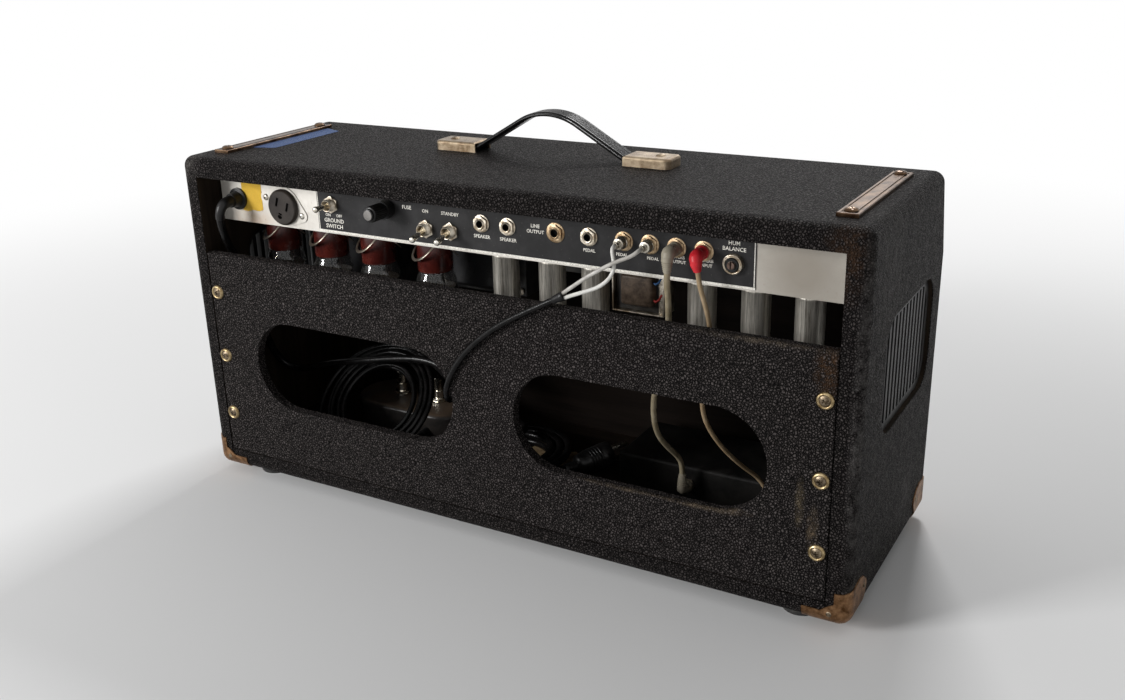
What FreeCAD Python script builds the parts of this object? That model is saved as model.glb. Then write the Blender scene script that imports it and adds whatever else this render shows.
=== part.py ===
import FreeCAD, Part
import math
import os

# Guitar amplifier head in a covered box. Millimetres, +Z up, the controls face -Y and the sockets +Y.
# The origin is under the middle of the box, on the surface that its feet stand on.

V = FreeCAD.Vector
X, Y, Z = V(1, 0, 0), V(0, 1, 0), V(0, 0, 1)

# Cabinet
cab_w = 667.0            # over the covering
cab_d = 235.0
cab_h = 321.0            # without feet and handle
foot_h = 10.0
foot_r = 19.0
foot_inset_x = 48.0      # foot centre from the side
foot_inset_y = 32.0
board_t = 18.0
vinyl_t = 0.8
edge_r = 10.0
slope_back = 22.0        # the top front edge stands this far behind the bottom one
slope_h = 73.0
finger_n = 11
fit = 0.2                # clearance between wooden pieces
corner_t = 1.0           # pressed steel corner caps
corner_rear = 27.0
corner_side = 40.0
corner_up = 30.0

# Side vents
vent_y0, vent_y1 = -84.5, 60.5
vent_z0, vent_z1 = 147.0, 246.0
vent_r = 25.0
vent_t = 10.0
vent_recess = 4.0
vent_rim = 7.0
vent_slots = 13
vent_slat = 5.0

# Back panel, battens and baffle
panel_t = 9.5
panel_h = 209.6
panel_gap = 0.7
hole_in = 31.7           # near end of each cut-out, from the middle
hole_inset = 51.8        # far end of each cut-out, from the side board
hole_z = 133.0
hole_r = 45.2
batten_w = 19.0
batten_d = 18.0
batten_h = 179.0
baffle_t = 12.7
baffle_top = 261.5
baffle_recess = 12.0
cloth_t = 1.2
screw_inset = 9.2        # panel screws from the side board
screw_zs = (71.2, 133.1, 198.9)
screw_proud = 3.0
washer_r = 7.25
screw_r = 2.2

# Handle
handle_y = -19.0
handle_in, handle_out = 77.0, 122.0
handle_cap_w = 27.0
handle_cap_h = 9.0
handle_wall = 1.2
strap_w = 23.0
strap_t = 4.0
strap_seat = 3.6         # strap's middle above the top inside a cap
strap_bend = 79.0
strap_slope = 30.0
strap_crown_r = 60.0
strap_bend_r = 16.0

# Chassis straps
cs_inset = 28.0          # straps' middle from the side
cs_w = 17.0
cs_y0, cs_y1 = -63.0, 89.0
cs_t = 3.0
cs_bolts = (80.0, -54.0)
bolt_r = 2.4
bolt_head_r = 6.5

# Chassis and its plates
ch_play = 2.7            # chassis from the side boards
ch_ref = 624.0           # chassis width at which the places across it are given
ch_set = 28.0            # chassis rear wall from the cabinet's rear plane
ch_h = 46.5
sheet_t = 1.5
ch_flange = 14.0
plate_t = 0.8
rp_x0, rp_x1 = -238.0, 191.0
rp_z0, rp_z1 = 267.2, 307.0
fp_t = 1.2
fp_recess = 9.0
fp_s0, fp_s1 = 8.0, 58.5
fp_play = 1.0            # front plate from the chassis's ends
panel_s = 31.0           # row of controls, up the slope

# Sockets and controls
jack_bore_r = 3.25
jack_bush_r = 4.75
jack_len = 28.0
nut_af = 12.7
nut_t = 2.4
jwash_r = 7.7
jwash_t = 0.6
phono_r = 4.2
phono_out = 8.0
phono_pin_r = 1.6
hole_play = 0.15
pot_r = 12.0
pot_h = 10.0
shaft_r = 3.0
run = 0.05               # radial running clearance
knob_r = 12.5
knob_top_r = 7.4
knob_h = 16.5
knob_gap = 1.0
toggle_bush_r = 5.9
toggle_out = 8.0
bat_len = 17.0
fuse_bore_r = 6.1
fuse_out = 28.0

row_in = 42.0            # line of the tubes from the chassis's rear wall
rear_jacks = (9.5, -16.9, -94.8)
rear_jack_z = 293.0
front_jacks = (-288.0, -262.0, -64.0, -38.0)
brights = (-236.0, -12.0)
knob_names = {"normal_volume": -208.0, "normal_treble": -172.0, "normal_middle": -136.0, "normal_bass": -100.0,
              "vibrato_volume": 16.0, "vibrato_treble": 50.0, "vibrato_middle": 84.0, "vibrato_bass": 118.0,
              "reverb": 152.0, "speed": 186.0, "intensity": 220.0, "master": 254.0}
lamp_x = 290.0

# Derived places
y_rear = (cab_d + corner_t - screw_proud) / 2
y_front = y_rear - cab_d
z_bot = foot_h
z_top = foot_h + cab_h
x_out = cab_w / 2
x_in = x_out - vinyl_t - board_t
z_floor = z_bot + vinyl_t + board_t
hole_out = x_in - hole_inset
screw_x = x_in - screw_inset
cs_x = x_out - cs_inset
ch_w = 2 * (x_in - ch_play)
fp_w = ch_w - 2 * fp_play
place = ch_w / ch_ref
rp_x0, rp_x1, lamp_x = rp_x0 * place, rp_x1 * place, lamp_x * place
rear_jacks, front_jacks, brights = ([x * place for x in row] for row in (rear_jacks, front_jacks, brights))
knob_names = {name: x * place for name, x in knob_names.items()}
z_ceil = z_top - vinyl_t - board_t
panel_y = y_rear - panel_t
panel_top = z_floor + panel_h
ch_y = y_rear - ch_set
row_y = ch_y - row_in
ch_z = z_ceil - ch_h
slope = math.atan2(slope_back, slope_h)
up_y, up_z = math.sin(slope), math.cos(slope)
wall_y = ch_y - sheet_t

parts = {}


def box(x0, x1, y0, y1, z0, z1):
    return Part.makeBox(x1 - x0, y1 - y0, z1 - z0, V(x0, y0, z0))


def cyl(r, h, x, y, z, d=Z):
    return Part.makeCylinder(r, h, V(x, y, z), d)


def along(s, d, test=lambda c: True):
    out = []
    for e in s.Edges:
        if isinstance(e.Curve, (Part.Line, Part.LineSegment)):
            t = e.tangentAt(e.FirstParameter)
            if abs(abs(t.dot(d)) - 1) < 1e-4 and test(e.CenterOfMass):
                out.append(e)
    return out


def rounded(b, r, d):
    return b.makeFillet(r, along(b, d))


def turned(pts, x, y, z, d=Z):
    """A solid of revolution from (radius, height) pairs, standing at a point along a direction."""
    w = Part.makePolygon([V(r, 0, h) for r, h in pts] + [V(pts[0][0], 0, pts[0][1])])
    s = Part.Face(w).revolve(V(0, 0, 0), Z, 360)
    s.Placement = FreeCAD.Placement(V(x, y, z), FreeCAD.Rotation(Z, d))
    return s


def inset(pts, d):
    """The same convex outline, drawn in by d."""
    n, lines, out = len(pts), [], []
    area = sum(pts[i][0] * pts[(i + 1) % n][1] - pts[(i + 1) % n][0] * pts[i][1] for i in range(n))
    k = 1.0 if area > 0 else -1.0
    for i in range(n):
        (a, b), (c, e) = pts[i], pts[(i + 1) % n]
        m = math.hypot(c - a, e - b)
        nx, ny = -(e - b) / m * k, (c - a) / m * k
        lines.append((nx, ny, nx * a + ny * b + d))
    for i in range(n):
        (a, b, p), (c, e, q) = lines[i - 1], lines[i]
        m = a * e - c * b
        out.append(((p * e - q * b) / m, (a * q - c * p) / m))
    return out


def yz_prism(pts, x0, x1):
    w = Part.makePolygon([V(x0, y, z) for y, z in pts + pts[:1]])
    return Part.Face(w).extrude(V(x1 - x0, 0, 0))


def hexagon(af, h, z0=0.0):
    r = af / math.sqrt(3)
    w = Part.makePolygon([V(r * math.cos(math.radians(60 * k)), r * math.sin(math.radians(60 * k)), z0) for k in range(7)])
    return Part.Face(w).extrude(V(0, 0, h))


def fused(items):
    s = items[0].fuse(items[1:]) if len(items) > 1 else items[0]
    return s.removeSplitter()


def save(name, *solids):
    flat = []
    for s in solids:
        flat += s.Solids
    parts[name] = Part.makeCompound(flat) if len(flat) > 1 else flat[0]


def on_rear(s, x, z, y=ch_y + plate_t):
    """Stands a piece, drawn with +Z outwards, on the rear plate."""
    s = s.copy()
    s.Placement = FreeCAD.Placement(V(x, y, z), FreeCAD.Rotation(X, -90)).multiply(s.Placement)
    return s


fp_origin = V(0, y_front + fp_recess * up_z, z_top - slope_h - fp_recess * up_y)


def on_front(s, x, up=panel_s):
    """Stands a piece, drawn with +Z outwards, on the slanted front plate."""
    s = s.copy()
    at = fp_origin + V(x, up * up_y, up * up_z)
    s.Placement = FreeCAD.Placement(at, FreeCAD.Rotation(X, 90 - math.degrees(slope))).multiply(s.Placement)
    return s


# Cabinet: the shell's outline runs front to rear, with the controls' slope at the top front
profile = [(y_front, z_bot), (y_rear, z_bot), (y_rear, z_top), (y_front + slope_back, z_top),
           (y_front, z_top - slope_h)]


def block(pts, half, r):
    s = yz_prism(pts, -half, half)
    return s.makeFillet(r, s.Edges)


outer = block(profile, x_out, edge_r)
core = block(inset(profile, vinyl_t), x_out - vinyl_t, edge_r - vinyl_t)
room = box(-x_in, x_in, y_front - 20, y_rear + 20, z_floor, z_ceil)
vent_cut = rounded(box(x_in - 5, x_out + 5, vent_y0, vent_y1, vent_z0, vent_z1), vent_r, X)
vent_cuts = [vent_cut, vent_cut.mirror(V(0, 0, 0), X)]
strap_holes = [cyl(bolt_r + fit, 60, s * cs_x, y, z_ceil - 20) for s in (1, -1) for y in cs_bolts]
handle_holes = [cyl(screw_r, 24, s * (handle_in + handle_out) / 2 + s * 8, handle_y, z_top - 16) for s in (1, -1)]
feet_at = [(sx * (x_out - foot_inset_x), y) for sx in (1, -1) for y in (y_front + foot_inset_y, y_rear - foot_inset_y)]
foot_holes = [cyl(screw_r, 14, x, y, z_bot - 2) for x, y in feet_at]

covering = outer.cut([core, room] + vent_cuts + strap_holes + handle_holes + foot_holes)
save("vinyl_covering", covering)

finger = cab_d / finger_n
odd, even = [], []
for i in range(finger_n):
    for sx in (1, -1):
        x0, x1 = sorted((sx * x_in, sx * (x_out + 5)))
        for z0, z1 in ((z_bot - 5, z_floor), (z_ceil, z_top + 5)):
            y0 = y_front + i * finger - (5 if i == 0 else 0)
            y1 = y_front + (i + 1) * finger + (5 if i == finger_n - 1 else 0)
            (odd if i % 2 else even).append(box(x0, x1, y0, y1, z0, z1))
low = box(-x_out, x_out, y_front - 5, y_rear + 5, z_bot - 5, z_floor)
high = box(-x_out, x_out, y_front - 5, y_rear + 5, z_ceil, z_top + 5)
save("bottom_board", core.common(low).cut(odd + foot_holes))
save("top_board", core.common(high).cut(odd + strap_holes + handle_holes))
right = core.common(box(x_in, x_out, y_front - 5, y_rear + 5, z_bot - 5, z_top + 5)).cut(even + [vent_cut])

# Battens: upright cleats in the four corners, glued to the side boards, which carry the back panel and the baffle
cloth_y = y_front + baffle_recess
baffle_y = cloth_y + cloth_t
rear_cleat = box(x_in - batten_w, x_in, panel_y - batten_d, panel_y, z_floor, z_floor + batten_h)
front_cleat = box(x_in - batten_w, x_in, baffle_y + baffle_t, baffle_y + baffle_t + batten_d, z_floor, z_floor + batten_h)
panel_screws = [(s * screw_x, z) for s in (1, -1) for z in screw_zs]
screw_bores = [cyl(screw_r, 26, x, y_rear + 1, z, -Y) for x, z in panel_screws]
rear_cleats = [c.cut(screw_bores) for c in (rear_cleat, rear_cleat.mirror(V(0, 0, 0), X))]
save("side_boards", right, right.mirror(V(0, 0, 0), X), *rear_cleats, front_cleat, front_cleat.mirror(V(0, 0, 0), X))

# Back panel with its two long cut-outs
panel = box(-x_in + panel_gap, x_in - panel_gap, panel_y, y_rear, z_floor + fit, panel_top)
panel = panel.makeFillet(2.0, [e for e in along(panel, X) + along(panel, Z) if e.CenterOfMass.y > y_rear - 0.1])
for s in (1, -1):
    x0, x1 = sorted((s * (hole_in + hole_r), s * (hole_out - hole_r)))
    panel = panel.cut([box(x0, x1, panel_y - 5, y_rear + 5, hole_z - hole_r, hole_z + hole_r),
                       cyl(hole_r, 30, x0, panel_y - 5, hole_z, Y), cyl(hole_r, 30, x1, panel_y - 5, hole_z, Y)])
save("back_panel", panel.cut(screw_bores))

# Baffle and grille cloth at the front, under the control panel
save("front_baffle", box(-x_in + fit, x_in - fit, baffle_y, baffle_y + baffle_t, z_floor + fit, baffle_top))
save("grille_cloth", box(-x_in + fit, x_in - fit, cloth_y, baffle_y, z_floor + fit, baffle_top))

def prism(outline, axis, at, depth):
    """A flat outline, placed point by point, pulled out along axis."""
    pts = [at(d, h) for d, h in outline]
    return Part.Face(Part.makePolygon(pts + pts[:1])).extrude(axis * depth)


# Corner caps: pressed from sheet over the rounded corner, three petals each
cap_skin = block(inset(profile, -corner_t), x_out + corner_t, edge_r + corner_t).cut(outer)
caps = []
for sx in (1, -1):
    for cy, s in ((y_front, 1), (y_rear, -1)):
        xe, ze = sx * (x_out + 2), z_bot - 2
        ye = cy - 2 * s
        rear_petal = prism([(0, -5), (0, 23.5), (17, 18), (25.5, 11.5), (corner_rear, 2), (corner_rear, -5)], Y,
                           lambda d, h: V(sx * (x_out + 2 - d), ye, z_bot + h), 14 * s)
        side_petal = prism([(0, -5), (0, 29), (9, 31), (corner_up - 4, 33), (corner_up + 5, 31), (corner_up + 14, 24), (corner_up + 16, 19), (corner_up + 12, 11),
                            (corner_up + 5, 2), (corner_up + 2, -5)], X, lambda d, h: V(xe, cy - 2 * s + s * d, z_bot + h), -14 * sx)
        under_petal = cyl(corner_side, 14, xe, ye, ze, Z)
        caps.append(cap_skin.common(fused([rear_petal, side_petal, under_petal])))
save("corner_caps", *caps)

# Feet: turned rubber, each with a screw in its pocket
feet, fasteners = [], []
for x, y in feet_at:
    feet.append(turned([(screw_r, 5.0), (7.0, 5.0), (7.0, 0), (foot_r - 3, 0), (foot_r, foot_h), (screw_r, foot_h)], x, y, 0))
    fasteners.append(turned([(0, 2.6), (4.5, 2.6), (6.0, 5.0), (screw_r, 5.0), (screw_r, foot_h + 12), (0, foot_h + 12)], x, y, 0))
save("feet", *feet)

# Chassis straps on top and their bolts, which hold the chassis flange under the top board
straps = []
for s in (1, -1):
    bar = box(s * cs_x - cs_w / 2, s * cs_x + cs_w / 2, cs_y0, cs_y1, z_top, z_top + cs_t)
    bar = bar.makeFillet(0.9, [e for e in bar.Edges if e.CenterOfMass.z > z_top + cs_t - 0.1])
    grooves = [box(s * cs_x + g - 1, s * cs_x + g + 1, cs_y0 + 3, cs_y1 - 3, z_top + cs_t - 0.7, z_top + cs_t + 1) for g in (-5.2, 5.2)]
    straps.append(bar.cut(grooves + strap_holes))
    for y in cs_bolts:
        b = turned([(0, cs_t + 3.6), (2.6, cs_t + 3.4), (5.0, cs_t + 2.4), (bolt_head_r, cs_t + 0.4), (bolt_head_r, cs_t),
                    (bolt_r, cs_t), (bolt_r, z_ceil - sheet_t - 8 - z_top), (0, z_ceil - sheet_t - 8 - z_top)], s * cs_x, y, z_top)
        nut = hexagon(8.0, 3.2).cut(cyl(bolt_r, 6, 0, 0, -1))
        nut.translate(V(s * cs_x, y, z_ceil - sheet_t - 3.2))
        fasteners += [b, nut]
save("chassis_straps", *straps)

# Cup washers and screws of the back panel
for x, z in panel_screws:
    fasteners.append(turned([(washer_r, 0), (washer_r, 0.6), (5.6, 2.2), (4.4, 2.2), (screw_r, 0.4), (screw_r, 0)], x, y_rear, z, Y))
    fasteners.append(turned([(0, -22), (screw_r, -19), (screw_r, 0.5), (4.3, 2.3), (3.4, screw_proud - 0.2), (1.2, screw_proud), (0, screw_proud)],
                            x, y_rear, z, Y))

# Carrying handle: two pressed end caps, and a moulded strap whose ends lie in them
zc = z_top + strap_seat
hcaps = []
for s in (1, -1):
    xc = s * (handle_in + handle_out) / 2
    half = (handle_out - handle_in) / 2
    c = box(xc - half, xc + half, handle_y - handle_cap_w / 2, handle_y + handle_cap_w / 2, z_top, z_top + handle_cap_h)
    c = c.makeFillet(5.0, [e for e in along(c, Z) if s * e.CenterOfMass.x > handle_in + half])
    c = c.makeFillet(2.6, [e for e in c.Edges if e.CenterOfMass.z > z_top + handle_cap_h - 0.1])
    x0, x1 = sorted((s * (handle_in - 1), s * (handle_out - handle_wall - 3)))
    c = c.cut(box(x0, x1, handle_y - strap_w / 2 - 0.4, handle_y + strap_w / 2 + 0.4, z_top - 1, z_top + handle_cap_h - handle_wall))
    xs = xc + s * 8
    hcaps.append(c.cut(cyl(screw_r, 20, xs, handle_y, z_top)))
    fasteners.append(turned([(0, handle_cap_h + 1.8), (2.6, handle_cap_h + 1.4), (4.6, handle_cap_h), (screw_r, handle_cap_h),
                             (screw_r, -14), (0, -15)], xs, handle_y, z_top))
save("handle_caps", *hcaps)
save("fasteners", *fasteners)


def path(points, radius=None):
    """Straight runs joined by tangent arcs; radius gives the arc at each inner point, or 0.45 of the shorter run."""
    p = [V(*q) for q in points]
    edges, radii, a = [], [], p[0]
    for i in range(1, len(p) - 1):
        d0, d1 = (p[i] - p[i - 1]), (p[i + 1] - p[i])
        l0, l1 = d0.Length, d1.Length
        d0.normalize()
        d1.normalize()
        turn = d0.getAngle(d1)
        t = radius[i - 1] * math.tan(turn / 2) if radius else 0.45 * min(l0, l1)
        r = t / math.tan(turn / 2)
        b, c = p[i] - d0 * t, p[i] + d1 * t
        bis = d1 - d0
        bis.normalize()
        m = p[i] + bis * (r / math.cos(turn / 2) - r)
        edges += [Part.LineSegment(a, b).toShape(), Part.Arc(b, m, c).toShape()]
        radii.append(r)
        a = c
    edges.append(Part.LineSegment(a, p[-1]).toShape())
    return Part.Wire(edges), radii


def swept(wire, profile_wire):
    s = Part.BRepOffsetAPI.MakePipeShell(wire)
    s.add(profile_wire)
    s.build()
    s.makeSolid()
    return s.shape()


crown = zc + strap_bend * math.tan(math.radians(strap_slope))
spine, _ = path([(handle_out - 6, handle_y, zc), (strap_bend, handle_y, zc), (0, handle_y, crown),
                 (-strap_bend, handle_y, zc), (-handle_out + 6, handle_y, zc)], [strap_bend_r, strap_crown_r, strap_bend_r])
w2, t2, ch = strap_w / 2, strap_t / 2, 1.2
ring = [(w2, t2 - ch), (w2 - ch, t2), (-w2 + ch, t2), (-w2, t2 - ch), (-w2, -t2 + ch), (-w2 + ch, -t2), (w2 - ch, -t2), (w2, -t2 + ch)]
section = Part.makePolygon([V(handle_out - 6, handle_y + a, zc + b) for a, b in ring + ring[:1]])
handle = swept(spine, section)
save("handle_strap", handle.cut(handle_holes + [cyl(screw_r + 0.1, 30, s * ((handle_in + handle_out) / 2 + 8), handle_y, z_top - 5) for s in (1, -1)]))

# Side vents: slatted inserts in the openings of the side boards
vents = []
for s in (1, -1):
    xa, xb = x_out - vent_recess - vent_t, x_out - vent_recess
    ins = rounded(box(xa, xb, vent_y0 + fit, vent_y1 - fit, vent_z0 + fit, vent_z1 - fit), vent_r - fit, X)
    field = rounded(box(xa - 1, xb + 1, vent_y0 + vent_rim, vent_y1 - vent_rim, vent_z0 + vent_rim, vent_z1 - vent_rim), vent_r - vent_rim, X)
    span = vent_y1 - vent_y0 - 2 * vent_rim
    slot = (span + vent_slat) / vent_slots - vent_slat
    bars = [box(xa - 2, xb + 2, vent_y0 + vent_rim + i * (slot + vent_slat), vent_y0 + vent_rim + i * (slot + vent_slat) + slot,
                vent_z0, vent_z1) for i in range(vent_slots)]
    ins = ins.cut(field.common(Part.makeCompound(bars)))
    vents.append(ins if s > 0 else ins.mirror(V(0, 0, 0), X))
save("side_vents", *vents)

# Chassis: a folded tray hung under the top board, open at the top inside a flange all round
def slope_y(depth, z):
    return y_front + depth * up_z + (z - (z_top - slope_h - depth * up_y)) * math.tan(slope)


fp_back = fp_recess + fp_t
tray = [(slope_y(fp_back, ch_z), ch_z), (ch_y, ch_z), (ch_y, z_ceil), (slope_y(fp_back, z_ceil), z_ceil)]
chassis = yz_prism(tray, -ch_w / 2, ch_w / 2).cut([
    yz_prism(inset(tray, sheet_t), -ch_w / 2 + sheet_t, ch_w / 2 - sheet_t),
    box(-ch_w / 2 + ch_flange, ch_w / 2 - ch_flange, tray[3][0] + ch_flange, ch_y - ch_flange, z_ceil - 3, z_ceil + 3)])

strain_at = (290.0 * place, 288.0)
outlet_at = (232.0 * place, 285.5)
outlet_r = 17.2
outlet_ears = ((22.0, 6.7), (-20.5, -7.5))
ground_at = (174.0 * place, 293.5)
fuse_at = (109.7 * place, 296.0)
power_at = (68.0 * place, 282.0)
standby_at = (41.9 * place, 282.5)
line_at = (-63.5 * place, 293.0)
phono_xs = [x * place for x in (-126.5, -149.5, -172.5, -195.5)]
hum_at = (-220.3 * place, 286.0)
power_tube_xs = [x * place for x in (277.0, 216.0, 158.0, 92.0)]
preamp_xs = [x * place for x in (14.0, -34.0, -77.0, -176.5, -223.5, -268.5)]
fuse_body_r = 7.3
relief_r = 8.0
lamp_r = 7.0
power_socket_r = 14.5
preamp_socket_r = 10.3
slide_w, slide_l = 5.0, 6.4      # bright switch's slider
slide_travel = 4.0

# Round and slotted openings: rear wall, front wall, floor
rear_bores = [(x, rear_jack_z, jack_bush_r) for x in rear_jacks] + [line_at + (phono_r,)]
rear_bores += [(x, rear_jack_z, phono_r) for x in phono_xs] + [hum_at + (jack_bush_r,)]
rear_bores += [p + (toggle_bush_r,) for p in (ground_at, power_at, standby_at)] + [fuse_at + (fuse_body_r,)]
rear_bores += [strain_at + (relief_r,), outlet_at + (outlet_r,)]
rear_bores += [(outlet_at[0] + a, outlet_at[1] + b, 1.6) for a, b in outlet_ears]
rear_cut = [cyl(r + hole_play, 12, x, ch_y - 6, z, Y) for x, z, r in rear_bores]
front_cut = [on_front(cyl(jack_bush_r + hole_play, 12, 0, 0, -6), x) for x in list(front_jacks) + list(knob_names.values())]
front_cut += [on_front(cyl(lamp_r + hole_play, 12, 0, 0, -6), lamp_x)]
slot_l = slide_l + slide_travel + 2 * fit
front_cut += [on_front(box(-slide_w / 2 - fit, slide_w / 2 + fit, -slot_l / 2, slot_l / 2, -6, 6), x) for x in brights]
floor_cut = [cyl(power_socket_r + hole_play, 8, x, row_y, ch_z - 3) for x in power_tube_xs]
floor_cut += [cyl(preamp_socket_r + hole_play, 8, x, row_y, ch_z - 3) for x in preamp_xs]
save("chassis", chassis.cut(rear_cut + front_cut + floor_cut + strap_holes))
save("rear_plate", box(rp_x0, rp_x1, ch_y, ch_y + plate_t, rp_z0, rp_z1).cut(rear_cut))
save("front_plate", on_front(box(-fp_w / 2, fp_w / 2, fp_s0, fp_s1, -fp_t, 0), 0, 0).cut(front_cut))
rear_back = plate_t + sheet_t
front_back = fp_t + sheet_t


# Jacks, drawn with the mouth along +Z and the panel's outer face at 0
def jack(back):
    s = fused([cyl(jack_bush_r, back + jwash_t + nut_t + 1.0, 0, 0, -back), cyl(jwash_r, jwash_t, 0, 0, 0),
               hexagon(nut_af, nut_t, jwash_t), box(-8.5, 8.5, -8.5, 8.5, -back - jack_len + 2, -back)])
    return s.cut(cyl(jack_bore_r, jack_len, 0, 0, jwash_t + nut_t + 1.0 - jack_len))


def phono(back):
    s = fused([cyl(phono_r, back + phono_out, 0, 0, -back), hexagon(11.0, 1.6), cyl(6.0, 6.0, 0, 0, -back - 6.0)])
    return s.cut(cyl(phono_pin_r, 12, 0, 0, phono_out - 10))


save("jacks", *[on_front(jack(front_back), x) for x in front_jacks],
     *[on_rear(jack(rear_back), x, rear_jack_z) for x in rear_jacks],
     *[on_rear(phono(rear_back), x, z) for x, z in [line_at] + [(x, rear_jack_z) for x in phono_xs]])


# Potentiometers, and the knobs on their shafts
pot_bush = 7.0
shaft_in = 7.5           # shaft's length inside the case


def pot(back, out):
    s = fused([cyl(pot_r, pot_h, 0, 0, -back - pot_h), cyl(jack_bush_r, back + out, 0, 0, -back), hexagon(12.0, 2.2),
               box(-6.5, 6.5, -pot_r - 4, 0, -back - 4.5, -back - 3.5)])
    return s.cut(cyl(shaft_r + run, 40, 0, 0, -back - shaft_in - fit))


hum_out = 5.0
save("potentiometers", *[on_front(pot(front_back, pot_bush), x) for x in knob_names.values()],
     on_rear(pot(rear_back, hum_out), *hum_at))
knob_low = 1.8 + knob_gap
knob_top = knob_low + knob_h
knob_bore_top = knob_top - 3.3
knob_pocket = pot_bush + 0.6
flutes = 10
for name, x in knob_names.items():
    k = turned([(0, knob_bore_top), (0, knob_top), (knob_top_r - 0.8, knob_top), (knob_top_r, knob_top - 0.8), (knob_top_r + 0.4, knob_low + 5.6),
                (knob_r - 2, knob_low + 4), (knob_r, knob_low + 2.2), (knob_r, knob_low), (knob_r - 3.5, knob_low), (knob_r - 3.5, knob_pocket),
                (shaft_r, knob_pocket), (shaft_r, knob_bore_top)], 0, 0, 0)
    cuts = [cyl(1.3, knob_h, (knob_top_r + 0.7) * math.sin(math.tau * (i + 0.5) / flutes), (knob_top_r + 0.7) * math.cos(math.tau * (i + 0.5) / flutes),
                knob_low + 6.2) for i in range(flutes)]
    cuts.append(box(-0.5, 0.5, 1.5, knob_top_r + 2, knob_top - 0.6, knob_top + 1))
    save("knob_" + name, on_front(k.cut(cuts), x),
         on_front(cyl(shaft_r, knob_bore_top + front_back + shaft_in, 0, 0, -front_back - shaft_in), x))
hum = cyl(shaft_r, hum_out + 2 + rear_back + shaft_in, 0, 0, -rear_back - shaft_in).cut(box(-0.6, 0.6, -4, 4, hum_out + 0.6, hum_out + 3))
save("hum_balance", on_rear(hum, *hum_at))

# Toggle switches: the bat's ball sits in the bushing, which widens to its mouth
ball_z, ball_r = 4.0, 3.2


def toggle(back):
    s = fused([cyl(toggle_bush_r, back + toggle_out, 0, 0, -back), hexagon(14.3, 2.0), box(-6.5, 6.5, -10, 10, -back - 16, -back)])
    return s.cut([cyl(ball_r + fit, toggle_out, 0, 0, ball_z - ball_r - fit), Part.makeCone(ball_r + fit, 4.7, toggle_out - 4.8 + 0.01, V(0, 0, 4.8))])


def bat(tilt):
    s = fused([Part.makeSphere(ball_r, V(0, 0, ball_z)), Part.makeCone(1.5, 2.5, bat_len - 2.5, V(0, 0, ball_z)),
               Part.makeSphere(2.5, V(0, 0, ball_z + bat_len - 2.5))])
    s.rotate(V(0, 0, ball_z), X, -tilt)
    return s


bodies = [on_rear(toggle(rear_back), *p) for p in (ground_at, power_at, standby_at)]
save("ground_switch_bat", on_rear(bat(0), *ground_at))
save("power_switch_bat", on_rear(bat(15), *power_at))
save("standby_switch_bat", on_rear(bat(15), *standby_at))

# Bright switches: a slider in a slotted case
for x in brights:
    case = box(-6, 6, -11, 11, -front_back - 9, -front_back).cut(
        box(-slide_w / 2 - fit, slide_w / 2 + fit, -slot_l / 2, slot_l / 2, -front_back - 4, 0))
    bodies.append(on_front(case, x))
for name, x in (("normal_bright_slider", brights[0]), ("vibrato_bright_slider", brights[1])):
    y0 = -slot_l / 2 + fit
    save(name, on_front(box(-slide_w / 2, slide_w / 2, y0, y0 + slide_l, -front_back - 3.8, 3.2), x))
save("switch_bodies", *bodies)

# Fuse holder and its bayonet cap
collar = 9.0
holder = fused([cyl(8.7, collar, 0, 0, 0), cyl(fuse_body_r, rear_back + 28, 0, 0, -rear_back - 28)]).cut(
    cyl(fuse_bore_r, collar + 16, 0, 0, -16))
save("fuse_holder", on_rear(holder, *fuse_at))
cap = turned([(0, fuse_out), (5.8, fuse_out), (5.8, fuse_out - 2.4), (7.3, fuse_out - 2.8), (7.3, collar + 0.3), (fuse_bore_r - 0.1, collar + 0.3),
              (fuse_bore_r - 0.1, -15), (0, -15)], 0, 0, 0)
save("fuse_cap", on_rear(cap, *fuse_at))

# Mains outlet: round body, flange with two ears, their screws
turn = math.degrees(math.atan2(outlet_ears[0][1] - outlet_ears[1][1], outlet_ears[0][0] - outlet_ears[1][0]))
strip = box(-20, 20, -6.5, 6.5, 0, 1)
strip.rotate(V(0, 0, 0), Z, -turn)
flange = fused([cyl(20, 1, 0, 0, 0), strip] + [cyl(6.5, 1, a, -b, 0) for a, b in outlet_ears])
flange = flange.cut([cyl(outlet_r + 0.05, 4, 0, 0, -1)] + [cyl(1.5, 4, a, -b, -1) for a, b in outlet_ears])
face = cyl(outlet_r, sheet_t + 22, 0, 0, -sheet_t - 17)
face = face.makeFillet(1.0, [e for e in face.Edges if e.CenterOfMass.z > 4.9])
face = face.cut([box(-7.4, -5.4, -4.2, 4.2, -8, 6), box(5.4, 7.4, -4.2, 4.2, -8, 6), cyl(2.4, 14, 0, 9.0, -8)])
ear_screws = [turned([(0, 2.6), (1.6, 2.4), (3.0, 1.0), (1.5, 1.0), (1.5, -4), (0, -4)], a, -b, 0) for a, b in outlet_ears]
save("mains_outlet", *[on_rear(s, *outlet_at, y=ch_y) for s in [flange, face] + ear_screws])

# Pilot lamp
lamp = fused([cyl(9.5, 3, 0, 0, 0), cyl(lamp_r, front_back + 18, 0, 0, -front_back - 18)])
jewel = turned([(0, 3), (8.0, 3), (8.0, 6), (5.5, 9), (0, 10)], 0, 0, 0)
save("pilot_lamp", on_front(lamp, lamp_x), on_front(jewel, lamp_x))

# Strain relief of the mains cord
relief_out = 11.5
relief = turned([(0, relief_out), (6.6, relief_out), (relief_r - 0.4, 3.0), (10.5, 2.5), (10.5, 0), (relief_r, 0), (relief_r, -sheet_t - 6), (0, -sheet_t - 6)], 0, 0, 0)
save("strain_relief", on_rear(relief, *strain_at, y=ch_y))


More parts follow.
